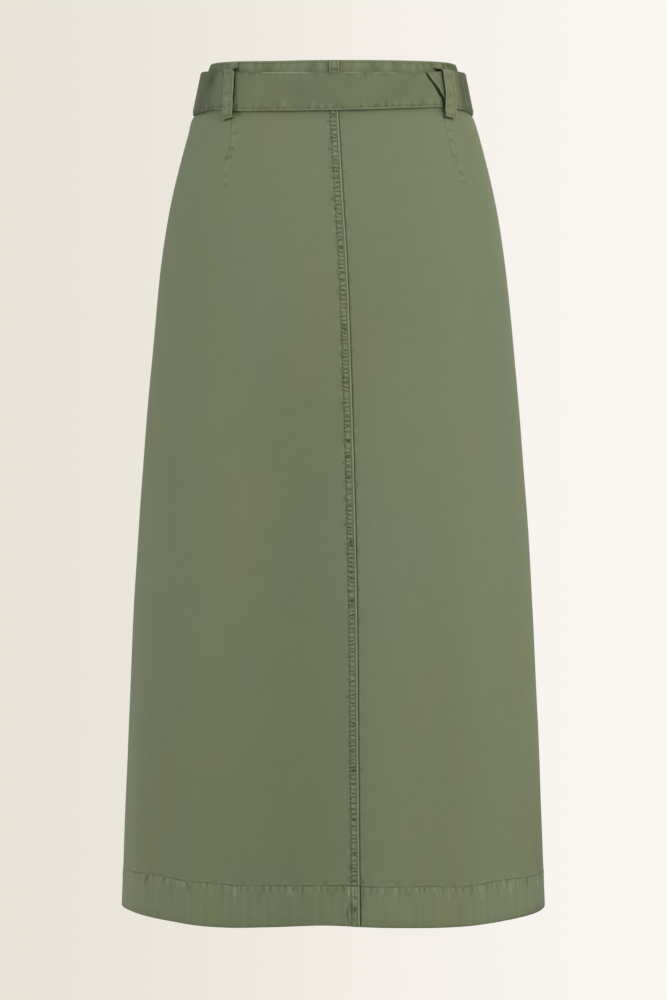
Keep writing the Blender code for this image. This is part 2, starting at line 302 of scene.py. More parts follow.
def beside(angle, middle, height):
    """How far round the garment an angle is past another, in millimetres."""
    return turned_by(angle, middle) * mm_per_degree(GARMENT, angle, height)


def smooth(value, low, high):
    """0 below low, 1 above high and an even ease between them."""
    t = np.clip((value - low) / (high - low), 0.0, 1.0)
    return t * t * (3 - 2 * t)


def window(value, start, full, fall, end):
    """1 from full to fall and 0 outside start and end, with an even ease between them."""
    return smooth(value, start, full) * (1 - smooth(value, fall, end))


def bell(value, width):
    return np.exp(-((value / width) ** 2))


def ripple(place, wavelength, seed):
    """An uneven wave about 0, the sum of three sines whose lengths don't agree."""
    phase = np.random.default_rng(seed).uniform(0, 2 * math.pi, 3)
    total = 0.0
    for share, weight, start in zip((1.0, 1.83, 0.57), (0.5, 0.3, 0.35), phase):
        total = total + weight * np.sin(2 * math.pi * share * place / wavelength + start)
    return total


# ---------------------------------------------------------------- puckers


class Puckers(NamedTuple):
    """Small ridges and furrows beside a row of stitches.

    They are spaced by spacing along it, reach by reach across it from middle, and lean by up to lean.
    """

    seed: int
    start: float
    end: float
    spacing: tuple
    width: tuple
    middle: tuple
    reach: tuple
    height: tuple
    lean: float


def pucker_relief(kind, place, across):
    """The relief of a run of puckers at places along it and distances across it, and its paling and
    darkening: washing and painted highlight on ridges, painted shade in furrows.
    """
    rng = np.random.default_rng(kind.seed)
    out = np.zeros(np.shape(place))
    wear = np.zeros(np.shape(place))
    at, sign = kind.start, 1.0
    while at < kind.end:
        width = rng.uniform(*kind.width)
        middle, reach = rng.uniform(*kind.middle), rng.uniform(*kind.reach)
        height, lean = rng.uniform(*kind.height) * sign, rng.uniform(-kind.lean, kind.lean)
        near = np.abs(place - at) < 3 * width + abs(lean) * 3 * reach
        if near.any():
            shape = bell(place[near] - at - lean * (across[near] - middle), width)
            shape = shape * bell(across[near] - middle, reach)
            out[near] += height * shape
            wear[near] += height / kind.height[1] * shape
        at += rng.uniform(*kind.spacing)
        sign = -sign if rng.random() < 0.85 else sign
    return out, wear


def sum_of_puckers(kinds, place, across):
    found = [pucker_relief(kind, place, across) for kind in kinds]
    return sum(bump for bump, _ in found), sum(shade for _, shade in found)


# ---------------------------------------------------------------- the skirt's relief


class Fold(NamedTuple):
    """A soft fold or hollow down the skirt, from its faint top to the hem."""

    top_angle: float
    low_angle: float
    top: float
    width: float
    depth: float


FOLDS = (
    Fold(-12.0, -17.0, -260.0, 30.0, -1.7),
    Fold(-33.0, -36.0, -330.0, 24.0, 0.9),
    Fold(-52.0, -50.0, -200.0, 30.0, -0.9),
    Fold(-70.0, -68.0, -300.0, 26.0, 1.3),
    Fold(26.0, 23.0, -380.0, 30.0, -1.1),
    Fold(38.0, 42.0, -170.0, 36.0, 1.5),
    Fold(62.0, 60.0, -300.0, 24.0, -1.2),
    Fold(78.0, 76.0, -420.0, 24.0, 1.0),
    Fold(104.0, 106.0, -360.0, 26.0, -1.4),
    Fold(122.0, 124.0, -220.0, 34.0, 2.0),
    Fold(146.0, 143.0, -300.0, 26.0, -1.8),
    Fold(163.0, 165.0, -420.0, 30.0, 1.4),
    Fold(-160.0, -162.0, -340.0, 32.0, -1.6),
    Fold(-141.0, -138.0, -240.0, 30.0, 1.9),
    Fold(-118.0, -120.0, -320.0, 26.0, -1.5),
    Fold(-102.0, -103.0, -460.0, 24.0, 1.0),
)


def fold_relief(angle, height):
    out = 0.25 * ripple(height + 40 * np.sin(np.radians(3 * angle)), 190.0, 5)
    per_degree = mm_per_degree(GARMENT, angle, height)
    for fold in FOLDS:
        share = np.clip((height - fold.top) / (HEM_EDGE - fold.top), 0.0, 1.0)
        middle = fold.top_angle + (fold.low_angle - fold.top_angle) * share
        apart = turned_by(angle, middle) * per_degree
        out = out + fold.depth * smooth(share, 0.0, 0.7) * bell(apart, fold.width * (0.7 + 0.5 * share))
    return out


class Seam(NamedTuple):
    """A felled seam: side is +1 where its raised band is at lower angles than its edge."""

    name: str
    side: int
    seed: int


SEAMS = (Seam("back", 1, 11), Seam("right", -1, 12), Seam("front", 1, 13), Seam("left", 1, 14))
ROW_OUTER = -8.1
ROW_INNER = -2.7
SEAM_REACH = 15.0
# How far a panel's edge is tucked in under the felled band beside it, and how far it drops to get there.
TUCK = (3.2, 2.2, 1.3, 0.6)
TUCK_DROP = 0.5
# Heights of the back seam's deepest furrows, where the cloth is bunched under the stitches and painted shade
# darkens it.
DEEP_FURROWS = (-236.6, -439.8, -494.0, -507.0, -610.8, -653.7, -787.4)


def seam_angle(seam, height):
    if seam.name == "back":
        return hermite(GARMENT, "back_seam_angle", height)
    return {"right": SIDE_SEAM_ANGLE, "front": 180.0, "left": -SIDE_SEAM_ANGLE}[seam.name] + 0.0 * height


# Heights where a seam's puckers start and end.
SEAM_RUN = (-806.0, -24.0)


def seam_puckers(seed):
    """Close ridges across the band, a stitch's pitch along its outer row, and faint ones past its edge."""
    return (
        Puckers(seed, *SEAM_RUN, (1.3, 2.5), (0.55, 0.95), (-5.6, -4.8), (1.6, 2.3), (0.16, 0.42), 0.4),
        Puckers(seed + 20, *SEAM_RUN, (1.5, 2.3), (0.6, 0.9), (-8.3, -7.9), (0.6, 1.0), (0.08, 0.24), 0.1),
        Puckers(seed + 40, *SEAM_RUN, (5.0, 13.0), (0.7, 1.6), (-10.6, -9.8), (0.6, 1.3), (0.05, 0.14), 0.2),
        Puckers(seed + 60, *SEAM_RUN, (6.0, 16.0), (0.7, 1.8), (1.6, 3.0), (0.7, 1.6), (0.04, 0.12), 0.3),
    )


def hem_bars(across, height):
    """Upright ridges across the seam's band just below the hem's stitches, and a bulge under them, with
    painted highlights on the ridges and painted shade between them, in their creases and in the ditch below.
    """
    below = HEM_STITCH - height
    run = window(below, 0.5, 1.8, 9.0, 12.5)
    out, wear = 0.0, 0.0
    for middle in (-10.4, -6.5, -3.4):
        out = out + 0.5 * run * bell(across - middle, 0.95)
        wear = wear + 0.75 * run * bell(across - middle, 0.8)
    for middle in (-8.4, -4.9):
        wear = wear - 0.5 * run * bell(across - middle, 0.8)
    bulge = bell(below - 27.0, 7.0)
    crease = across + 12.4 - 0.045 * (below - 27.0) ** 2 * (np.abs(below - 27.0) < 12)
    out = out - 0.6 * bulge * bell(crease, 0.8) + 0.5 * bulge * bell(across + 10.4, 1.1)
    wear = wear - 0.9 * bulge * bell(crease, 0.8)
    ditch = window(below, 14.0, 18.0, 33.0, 37.0)
    crossing = bell(below - 0.5, 3.4)
    slant = across - 1.2 - 0.36 * (below + 8.0)
    crease = window(below, -10.0, -7.5, -3.0, -1.0) * (across > 0)
    wear = wear - 0.6 * crease * bell(slant, 0.6) + 0.5 * crease * bell(slant + 1.3, 0.5)
    out = out - 0.35 * crease * bell(slant, 0.7) - 0.25 * crossing * bell(across - 0.8, 0.8)
    wear = wear - 0.35 * crossing * bell(across - 0.8, 0.9)
    wear = wear + 0.45 * bell(below - 4.5, 2.2) * bell(across - 2.8, 0.9)
    wear = wear - 0.4 * bell(below - 11.0, 3.0) * bell(across - 2.6, 1.2)
    return out - 0.3 * ditch * bell(across - 1.0, 0.8), wear - 0.12 * ditch * bell(across - 1.2, 1.0)


def seam_relief(seam, angle, height):
    """Relief of one felled seam where the angles and heights are near it, with washing and painted highlight
    on its folded ridge and painted shade in its stitch grooves, its ditch and its puckers' furrows.
    """
    across = beside(angle, seam_angle(seam, height), height) * seam.side
    on_band = across <= 0
    fade = smooth(-height, 18.0, 30.0)
    out = FELL_RAISE * smooth(across, ROW_OUTER - 0.6, ROW_OUTER + 1.6) * on_band
    out = out - 0.45 * bell(across - ROW_OUTER, 0.55) - 0.35 * bell(across - ROW_INNER, 0.5)
    out = out + 0.35 * bell(across + 1.0, 0.5) * on_band - TUCK_DROP * smooth(-across, -0.4, 0.15) * ~on_band
    broken = 0.8 + 0.3 * ripple(height, 37.0, seam.seed + 3)
    low_down = smooth(-height, 120.0, 520.0)
    # Painted shade in the stitch grooves and the ditch beside the band; painted highlight on the band's
    # folded ridge.
    wear = -(0.7 + 0.25 * low_down) * bell(across - ROW_OUTER, 0.5)
    wear = wear - 0.7 * broken * bell(across - ROW_INNER, 0.45)
    wear = wear + 1.1 * broken * bell(across + 1.0, 0.42) * on_band
    wear = wear - 0.08 * (across > ROW_OUTER) * (across < -2.0)
    wear = wear - (0.15 + 0.2 * low_down) * bell(across - 0.1, 0.45) + 0.1 * bell(across - 2.3, 0.9)
    shades = (1.15, 0.9, 0.6, 0.5)
    for kind, share in zip(seam_puckers(seam.seed), shades):
        bump, shade = pucker_relief(kind, height, across)
        out, wear = out + bump, wear + share * np.where(shade > 0, 0.75, 1.15) * shade
    if seam.name == "back":
        for furrow in DEEP_FURROWS:
            deep = bell(height - furrow, 1.6) * bell(across + 4.6, 1.9)
            out, wear = out - 0.5 * deep, wear - 0.8 * deep
    bars, bar_wear_and_shading = hem_bars(across, height)
    below = HEM_STITCH - height
    pressed = 1 - 0.8 * window(below, 0.0, 1.5, 9.0, 11.0) * (across < -2.0)
    return out * fade * pressed + bars, wear * fade * pressed + bar_wear_and_shading


class DartStep(NamedTuple):
    height: float
    left: float
    right: float


# Distances of the back darts from the centre, down to their points.
BACK_DARTS = (
    DartStep(-26.0, -97.0, 105.0),
    DartStep(-48.0, -97.6, 108.6),
    DartStep(-60.0, -98.3, 111.4),
    DartStep(-72.0, -101.8, 114.0),
    DartStep(-84.0, -104.9, 119.6),
    DartStep(-102.0, -105.8, 124.5),
)
DART_POINT = -98.0
# Below this height, and this many degrees beside a dart, nothing of it is left.
DART_END = -112.0
DART_REACH_ANGLE = 9.0
# Cells within this many degrees of a dart are cut finer.
DART_CUT_ANGLE = 5.5
FRONT_DART_ANGLE = 42.0


def dart_puckers(seed):
    return Puckers(seed, -104.0, -34.0, (3.5, 8.0), (1.1, 2.4), (2.5, 4.5), (1.8, 3.6), (0.10, 0.26), 0.5)


def angle_at(x, height):
    """The angle at which the back of the garment's form has this distance from the centre."""
    angles = np.linspace(0.0, 90.0, 46)
    reach = surface(GARMENT, angles[None, :], np.asarray(height)[:, None])[..., 0]
    return np.array([np.interp(abs(a), row, angles) * np.sign(a) for a, row in zip(x, reach)])


def dart_angle(name, height):
    """The back dart's angle at heights, read from a short table of it."""
    heights = np.arange(-110.0, -24.0, 4.0)
    angles = angle_at(hermite(BACK_DARTS, name, heights), heights)
    return np.interp(height, heights, angles)


def dart_relief(middle, seed, angle, height):
    across = beside(angle, middle, height)
    fade = smooth(height, DART_POINT, DART_POINT + 30.0)
    out = (-0.38 * bell(across, 1.0) + 0.25 * bell(across - 2.2, 1.6)) * fade
    # Painted shade in dashes along the dart's fold and a faint painted highlight on the ridge beside it.
    dashes = 0.55 + 0.45 * ripple(height, 11.0, seed)
    wear = (-0.55 * dashes * bell(across, 0.8) + 0.12 * bell(across - 2.0, 1.4)) * fade
    bump, shade = pucker_relief(dart_puckers(seed), height, across)
    below_loop = smooth(height, -108.0, -90.0)
    return out + bump * below_loop, wear + np.where(shade > 0, 0.28, 0.6) * shade * below_loop


# Puckers hang from the hem's stitches; place is along the hem and across is the depth below them.
HEM_PUCKERS = (
    Puckers(31, -700.0, 700.0, (1.6, 4.6), (0.65, 1.3), (2.2, 3.8), (2.0, 4.2), (0.10, 0.40), 0.16),
    Puckers(32, -700.0, 700.0, (9.0, 30.0), (1.2, 2.6), (4.0, 8.0), (4.0, 9.0), (0.10, 0.32), 0.15),
    Puckers(33, -700.0, 700.0, (6.0, 16.0), (0.8, 1.6), (-3.0, -1.6), (0.8, 2.0), (0.04, 0.12), 0.3),
)
HEM_GIRTH_PER_DEGREE = 3.1


class HemStep(NamedTuple):
    """How far the hem's stitches and its edge lie above their own heights, all round."""

    angle: float
    stitches: float
    edge: float


HEM_STEPS = (
    HemStep(-270.0, -4.2, -1.2),
    HemStep(-230.0, 0.3, 0.2),
    HemStep(-180.0, 0.0, 0.0),
    HemStep(-130.0, 0.3, 0.2),
    HemStep(-90.0, -4.9, -0.9),
    HemStep(-78.0, -2.0, 0.2),
    HemStep(-69.0, 0.3, 0.6),
    HemStep(-61.0, 2.6, 0.8),
    HemStep(-50.0, 2.1, 1.1),
    HemStep(-36.0, 2.1, 0.4),
    HemStep(-28.0, 0.5, 0.1),
    HemStep(-16.0, 0.2, 0.5),
    HemStep(-5.0, 0.0, 1.8),
    HemStep(1.0, 0.0, 1.6),
    HemStep(8.0, -0.3, 0.5),
    HemStep(16.0, -0.9, -0.2),
    HemStep(28.0, -0.5, -0.1),
    HemStep(40.0, -1.7, 0.4),
    HemStep(48.0, -0.8, 0.6),
    HemStep(56.0, -0.8, -0.2),
    HemStep(62.0, -1.9, -0.9),
    HemStep(72.0, -4.6, -1.5),
    HemStep(90.0, -4.2, -1.2),
    HemStep(130.0, 0.3, 0.2),
    HemStep(180.0, 0.0, 0.0),
)


def hem_line(angle):
    seam_step = -0.9 * window(angle, 7.2, 7.9, 12.0, 20.0)
    return HEM_STITCH + hermite(HEM_STEPS, "stitches", angle) + 0.3 * ripple(angle, 21.0, 41) + seam_step


def hang(angle, height):
    """Heights as the hem hangs, a little uneven all round."""
    return height + hermite(HEM_STEPS, "edge", angle) * smooth(-height, 770.0, 804.0)


def hem_relief(angle, height):
    below = hem_line(angle) - height
    strength = np.clip(0.45 + 0.5 * ripple(angle, 11.0, 42), 0.12, 0.85)
    at_right = window(angle, 38.0, 48.0, 92.0, 100.0)
    strength = strength + 0.25 * at_right * (1 - strength)
    by_seam = window(angle, -3.5, -1.5, 11.5, 13.0)
    strength = np.maximum(strength, 0.95 * by_seam)
    in_hem = smooth(below, -0.6, 2.6)
    streaks = 0.07 * ripple(angle, 2.9, 46) * smooth(below, 6.0, 12.0)
    out = 0.2 * in_hem - 0.5 * strength * bell(below, 0.7) + 0.22 * strength * bell(below + 1.5, 0.8)
    # Painted shade along the hem's stitch line and a painted highlight on the cloth just above it.
    wear = -1.0 * strength * bell(below - 0.1, 0.6) + 0.42 * strength * bell(below + 1.2, 0.65)
    under = smooth(below, 0.2, 1.4)
    for kind in HEM_PUCKERS:
        bump, shade = pucker_relief(kind, angle * HEM_GIRTH_PER_DEGREE, below)
        part = under if kind.middle[0] > 0 else 1 - under
        out, wear = out + bump * part, wear + 0.55 * shade * part
    # The hem band is a little paler; painted shade darkens the turned lower edge and faintly the cloth above
    # it.
    edge = height - HEM_EDGE
    return out, wear + streaks + 0.07 * in_hem - 0.4 * bell(edge, 1.5) - 0.1 * bell(edge - 4.0, 5.0)


def loop_shade(angle, height):
    """Painted shadow on the skirt just under the back loops' lower ends."""
    wear = np.zeros(angle.shape)
    for loop in LOOPS:
        if loop.strap_layers and abs(loop.low_angle) < 90:
            across = beside(angle, loop.low_angle, height)
            line = loop.low_end - 1.3 + loop.slant * across / (loop.width / 2)
            under = smooth(loop.width / 2 - np.abs(across), -0.6, 0.6)
            wear = wear - 1.1 * under * bell(height - line, 1.0)
    return np.zeros(angle.shape), wear


def faded_sides(angle, height):
    """Slow changes over the skirt: painted shade darkening it toward the hem, painted light to the right of
    the back seam and painted shade to its left, paler down the left side and darker low down the right side.
    """
    wear = -0.09 * smooth(-height, 420.0, 800.0)
    by_seam = 0.09 * bell(angle - 21.0, 15.0) - 0.10 * bell(angle + 10.0, 17.0)
    wear = wear + by_seam * smooth(-height, 170.0, 330.0)
    down_left = 0.16 * window(-angle, 64.0, 82.0, 98.0, 116.0) * smooth(-height, 420.0, 700.0)
    down_right = 0.22 * window(angle, 66.0, 82.0, 98.0, 116.0) * smooth(-height, 640.0, 740.0)
    return wear + down_left - down_right


def skirt_relief(angle, height):
    """The skirt's soft folds alone, how far its cloth stands out of the garment's form, and its paling and
    darkening: washing, painted highlights, painted shade and painted shadow.
    """
    angle, height = np.broadcast_arrays(np.asarray(angle, float), np.asarray(height, float))
    soft = fold_relief(angle, height) + 0.9 * bell(height + 37.0, 7.0) * belt_crush(angle) * (angle < 0)
    out, wear = soft.copy(), faded_sides(angle, height)

    def add(near, relief):
        if near.any():
            more, shade = relief(angle[near], height[near])
            out[near] += more
            wear[near] += shade

    for seam in SEAMS:
        reach = SEAM_REACH / mm_per_degree(GARMENT, seam_angle(seam, -400.0), height)
        near = np.abs(turned_by(angle, seam_angle(seam, height))) < reach
        add(near, lambda a, h, seam=seam: seam_relief(seam, a, h))
    in_darts = height > DART_END
    for name, seed in (("left", 51), ("right", 52)):
        near = in_darts & (np.abs(turned_by(angle, dart_angle(name, height))) < DART_REACH_ANGLE)
        add(near, lambda a, h, name=name, seed=seed: dart_relief(dart_angle(name, h), seed, a, h))
    for middle, seed in ((180.0 - FRONT_DART_ANGLE, 53), (FRONT_DART_ANGLE - 180.0, 54)):
        near = in_darts & (np.abs(turned_by(angle, middle)) < DART_REACH_ANGLE)
        add(near, lambda a, h, middle=middle, seed=seed: dart_relief(middle, seed, a, h))
    add((height < -30.0) & (height > -42.0) & (np.abs(turned_by(angle, 0.0)) < 70.0), loop_shade)
    add(height < HEM_STITCH + 6.0, hem_relief)
    return soft, out, wear


# ---------------------------------------------------------------- meshes


def new_piece(name, points, faces, finish, wear=None, places=None, smooth_below=55.0):
    """A mesh piece from points in millimetres.

    places are each point's millimetres round and down the cloth.
    """
    mesh = bpy.data.meshes.new(name)
    mesh.from_pydata((np.asarray(points) * MM).tolist(), [], faces)
    mesh.materials.append(finish)
    mesh.shade_smooth()
    mesh.set_sharp_from_angle(angle=math.radians(smooth_below))
    # Each point's paling and darkening: washing and painted highlights above 0, kept dye, painted shade and
    # painted shadow below 0.
    if wear is not None:
        layer = mesh.attributes.new("wear", "FLOAT", "POINT")
        layer.data.foreach_set("value", np.clip(wear, -1.2, 1.2).astype(np.float32))
    if places is not None:
        corners = np.empty(len(mesh.loops), np.int32)
        mesh.loops.foreach_get("vertex_index", corners)
        layer = mesh.uv_layers.new(name="cloth")
        layer.uv.foreach_set("vector", (places[corners] * MM).astype(np.float32).ravel())
    piece = bpy.data.objects.new(name, mesh)
    bpy.context.scene.collection.objects.link(piece)
    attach(piece, "root")
    return piece


class Layer(NamedTuple):
    """One face of a cloth wall on its grid: the grid lines of its plain cells, and which are cut finer."""

    points: np.ndarray
    wear: np.ndarray
    rows: list
    columns: list
    fine: np.ndarray


# The inside of the cloth shows this share of the outside's paling and darkening, washing and painted light
# and shade alike.
INNER_WEAR_AND_SHADING = 0.3


def cells_of(layer):
    cells = []
    for i, (top, low) in enumerate(zip(layer.rows, layer.rows[1:])):
        for j, (left, right) in enumerate(zip(layer.columns, layer.columns[1:])):
            if layer.fine[i, j]:
                cells += [(r, r + 1, c, c + 1) for r in range(top, low) for c in range(left, right)]
            else:
                cells.append((top, low, left, right))
    return cells


def used_points(layer, cells):
    used = np.zeros(layer.points.shape[:2], bool)
    ends = np.array(cells)
    for row in (0, 1):
        for column in (2, 3):
            used[ends[:, row], ends[:, column]] = True
    return used


def run_of(used, low, high):
    """The numbers from low to high that are used, both ends included."""
    if high - low == 1:
        return [low, high]
    return (np.flatnonzero(used[low : high + 1]) + low).tolist()


def wall_piece(name, outer, inner, places, finish):
    """A closed wall of cloth between an outer and an inner layer on one grid.

    A cell beside finer ones takes their points into its edge, so that the wall has no gaps. The inner
    layer's rim has no more points than the outer one's.
    """
    shape = outer.points.shape[:2]
    size = shape[0] * shape[1]
    faces, used_all = [], []
    for side, layer in enumerate((outer, inner)):
        cells = cells_of(layer)
        used = used_points(layer, cells)
        used_all.append(used)
        for top, low, left, right in cells:
            down = [(r, left) for r in run_of(used[:, left], top, low)]
            across = [(low, c) for c in run_of(used[low], left, right)[1:]]
            up = [(r, right) for r in run_of(used[:, right], top, low)[-2::-1]]
            back = [(top, c) for c in run_of(used[top], left, right)[-2:0:-1]]
            ring = [side * size + r * shape[1] + c for r, c in down + across + up + back]
            faces.append(ring if side == 0 else ring[::-1])
    numbers = np.arange(size).reshape(shape)
    rims = ((np.s_[0], False), (np.s_[-1], True), (np.s_[:, 0], True), (np.s_[:, -1], False))
    for line, flipped in rims:
        rim = numbers[line].tolist()
        stops = np.flatnonzero(used_all[1][line]).tolist()
        for start, end in zip(stops, stops[1:]):
            ring = [rim[k] for k in run_of(used_all[0][line], start, end)]
            ring += [size + rim[end], size + rim[start]]
            faces.append(ring[::-1] if flipped else ring)
    keep = np.flatnonzero(np.concatenate([used.ravel() for used in used_all]))
    renumber = np.full(2 * size, -1)
    renumber[keep] = np.arange(len(keep))
    faces = [renumber[face].tolist() for face in faces]
    points = np.concatenate([outer.points.reshape(-1, 3), inner.points.reshape(-1, 3)])[keep]
    wear = np.concatenate([outer.wear.ravel(), inner.wear.ravel()])[keep]
    places = np.concatenate([places.reshape(-1, 2)] * 2)[keep]
    return new_piece(name, points, faces, finish, wear, places)


def places_on(points):
    """Millimetres round and down the cloth at each point of a grid, for its weave."""
    steps = np.linalg.norm(np.diff(points[:, :, :2], axis=1), axis=-1)
    round_it = np.concatenate([np.zeros((len(points), 1)), np.cumsum(steps, axis=1)], axis=1)
    round_it = round_it - round_it[:, -1:] / 2
    return np.stack([round_it, points[:, :, 2]], axis=-1)


def turned_edge(distance, thickness):
    """The share of a wall's thickness that is left near a rounded edge."""
    radius = 0.7 * thickness
    t = np.clip(1 - distance / radius, 0.0, 1.0)
    return np.sqrt(np.clip(1 - t * t, 0.1, 1.0))


def cells_cut(rows, columns, fine):
    """Whether each plain cell is cut finer, the same for all."""
    return np.full((len(rows) - 1, len(columns) - 1), fine)


def every(step, last):
    """Numbers from 0 to last in steps, with last itself."""
    numbers = list(range(0, last, step))
    return numbers + [last]


# ---------------------------------------------------------------- the skirt's panels

PLAIN_CELLS = 58
FINE_COLUMNS = 4
BAND_STEP = 0.8
BAND_CELLS = 19
BODY_CELLS = 150
HEM_FINE_ROWS = 22
HEM_FINE_STEP = 0.8
HEM_ROWS = 7
HEM_TURN = (3.0, 1.7, 0.9, 0.4, 0.0)


class PanelPlan(NamedTuple):
    """A panel's two seams, which of its edges are tucked under a band, and its rows to a plain cell."""

    name: str
    first: str
    last: str
    first_tuck: bool
    last_tuck: bool
    fine_rows: int


PANELS = (
    PanelPlan("back_left", "left", "back", True, False, 8),
    PanelPlan("back_right", "back", "right", True, True, 8),
    PanelPlan("front_right", "right", "front", False, False, 4),
    PanelPlan("front_left", "front", "left", True, False, 4),
)


def panel_heights(plan):
    """Heights of the grid's rows, and the number of the last row above the hem's fine ones."""
    top = WAIST_SEAM - SEAM_GAP
    body_end = HEM_STITCH + 6.0
    body = np.linspace(top, body_end, BODY_CELLS * plan.fine_rows + 1)
    fine = body_end - HEM_FINE_STEP * np.arange(1, HEM_FINE_ROWS + 1)
    plain = np.linspace(fine[-1], HEM_EDGE + HEM_TURN[0], HEM_ROWS + 1)[1:]
    turn = HEM_EDGE + np.array(HEM_TURN[1:])
    return np.concatenate([body, fine, plain, turn]), len(body) - 1


def edge_angle(name, height, is_first):
    seam = next(seam for seam in SEAMS if seam.name == name)
    angle = seam_angle(seam, height)
    if name == "front" and is_first:
        angle = angle - 360.0
    half_gap = SEAM_GAP / 2 / mm_per_degree(GARMENT, angle, height)
    return angle + half_gap if is_first else angle - half_gap


def panel_angles(plan, heights):
    """The angle of every grid column at every height, and the numbers of the plain cells' columns."""
    heights = heights[:, None]
    first = edge_angle(plan.first, heights, True)
    last = edge_angle(plan.last, heights, False)
    band = BAND_STEP * np.arange(BAND_CELLS + 1)[None, :]
    first_band = first + band / mm_per_degree(GARMENT, first, heights)
    last_band = last - band[:, ::-1] / mm_per_degree(GARMENT, last, heights)
    start, end = first_band[:, -1:], last_band[:, :1]
    shares = np.linspace(0.0, 1.0, PLAIN_CELLS * FINE_COLUMNS + 1)[None, :]
    parts = [first_band[:, :-1], start + (end - start) * shares, last_band[:, 1:]]
    lead = tail = BAND_CELLS
    tuck = np.array(TUCK)[None, :]
    if plan.first_tuck:
        parts.insert(0, first - tuck / mm_per_degree(GARMENT, first, heights))
        lead += len(TUCK)
    if plan.last_tuck:
        parts.append(last + tuck[:, ::-1] / mm_per_degree(GARMENT, last, heights))
        tail += len(TUCK)
    plain = [lead + FINE_COLUMNS * k for k in range(PLAIN_CELLS + 1)]
    columns = list(range(lead)) + plain + [plain[-1] + k for k in range(1, tail + 1)]
    return np.concatenate(parts, axis=1), columns


def near_dart(angles, heights, rows, columns):
    """Which plain cells lie on a dart."""
    middle_angle = angles[np.ix_(rows, columns)]
    middle_height = heights[rows][:, None]
    found = np.zeros(middle_angle.shape, bool)
    lines = [dart_angle("left", middle_height), dart_angle("right", middle_height)]
    lines += [180.0 - FRONT_DART_ANGLE + 0 * middle_height, FRONT_DART_ANGLE - 180.0 + 0 * middle_height]
    for line in lines:
        found |= np.abs(turned_by(middle_angle, line)) < DART_CUT_ANGLE
    found &= middle_height > DART_END
    return found[:-1, :-1] | found[1:, 1:] | found[:-1, 1:] | found[1:, :-1]


def make_panel(plan, finish):
    heights, body_end = panel_heights(plan)
    angles, columns = panel_angles(plan, heights)
    level = np.broadcast_to(heights[:, None], angles.shape)
    grid_heights = hang(angles, level)
    soft, out, wear = skirt_relief(angles, grid_heights)
    in_hem = smooth(HEM_STITCH - 3.5 - grid_heights, 0.0, 1.2)
    thickness = BODY_CLOTH + (HEM_CLOTH - BODY_CLOTH) * in_hem
    tucked = tuck_share(plan, angles, level)
    out = out - tucked * (0.4 + 0.6 * (HEM_CLOTH - BODY_CLOTH) * in_hem)
    soft = soft - tucked * (TUCK_DROP + 0.4)
    # Painted shade on the part of the panel tucked under its neighbour's band.
    wear = wear * (1 - tucked) - tucked
    turned = turned_edge(level - HEM_EDGE, HEM_CLOTH)
    pinch = thickness / 2 * (1 - turned)
    outer_points = offset(GARMENT, angles, grid_heights, out - pinch)
    inner_out = 0.5 * (soft + np.minimum(out, soft + FELL_RAISE)) - thickness - 0.2
    inner_points = offset(GARMENT, angles, grid_heights, np.minimum(inner_out, out - 0.7) + pinch)
    last_row = len(heights) - 1
    rows = every(plan.fine_rows, body_end) + list(range(body_end + 1, last_row + 1))
    fine = cells_cut(rows, columns, False)
    narrow = np.diff(columns) < FINE_COLUMNS
    fine[:, narrow] = True
    fine[np.array(rows[:-1]) >= body_end, :] = True
    fine |= near_dart(angles, heights, rows, columns)
    outer = Layer(outer_points, wear, rows, columns, fine)
    inner_columns = inner_column_stops(columns)
    inner = Layer(inner_points, INNER_WEAR_AND_SHADING * wear, rows, inner_columns, cells_cut(rows, inner_columns, False))
    piece = wall_piece(plan.name + "_cloth", outer, inner, places_on(outer_points), finish)
    declare_panel(plan)


def tuck_share(plan, angles, heights):
    """1 on the part of a panel that lies under its neighbour's band, and 0 on the rest."""
    share = np.zeros(angles.shape)
    for tucked, name, is_first in ((plan.first_tuck, plan.first, True), (plan.last_tuck, plan.last, False)):
        if tucked:
            edge = edge_angle(name, heights, is_first)
            past = (edge - angles if is_first else angles - edge) * mm_per_degree(GARMENT, edge, heights)
            share = np.maximum(share, smooth(past, -0.6, 0.1))
    return share


def inner_column_stops(columns):
    """The inner layer's columns: the plain cells' own, and every fourth one of a band's."""
    kept = [columns[0]]
    for number in columns[1:]:
        if number - kept[-1] >= FINE_COLUMNS or number == columns[-1]:
            kept.append(number)
    return kept


def declare_panel(plan):
    """Points over the panel's cut on the garment's form, which nothing uses; then the panel's part is hidden.
    """
    heights = np.linspace(WAIST_SEAM, HEM_EDGE, 60)
    first = edge_angle(plan.first, heights, True)
    last = edge_angle(plan.last, heights, False)
    shares = np.linspace(0.0, 1.0, 80)[None, :]
    points = surface(GARMENT, first[:, None] + (last - first)[:, None] * shares, heights[:, None])
    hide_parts(plan.name)


# ---------------------------------------------------------------- waistband

WAISTBAND_STEP_ANGLE = 0.6
WAISTBAND_PUCKERS = (
    Puckers(61, -700.0, 700.0, (3.0, 8.0), (1.2, 2.6), (2.5, 6.0), (2.5, 5.0), (0.08, 0.30), 0.25),
    Puckers(62, -700.0, 700.0, (9.0, 24.0), (3.0, 6.0), (5.0, 12.0), (5.0, 10.0), (0.15, 0.5), 0.3),
)
WAIST_GIRTH_PER_DEGREE = 2.1
EDGE_STITCH_INSET = 2.0


def underlap_out(angle):
    """The wearer's left end of the waistband turns in and lies behind its right end."""
    behind = -(WAISTBAND_CLOTH + SEAM_GAP)
    turn = (-180.0 + UNDERLAP_TURN_ANGLE - angle) / UNDERLAP_TURN_ANGLE
    return behind * np.clip(turn, 0.0, 1.0)


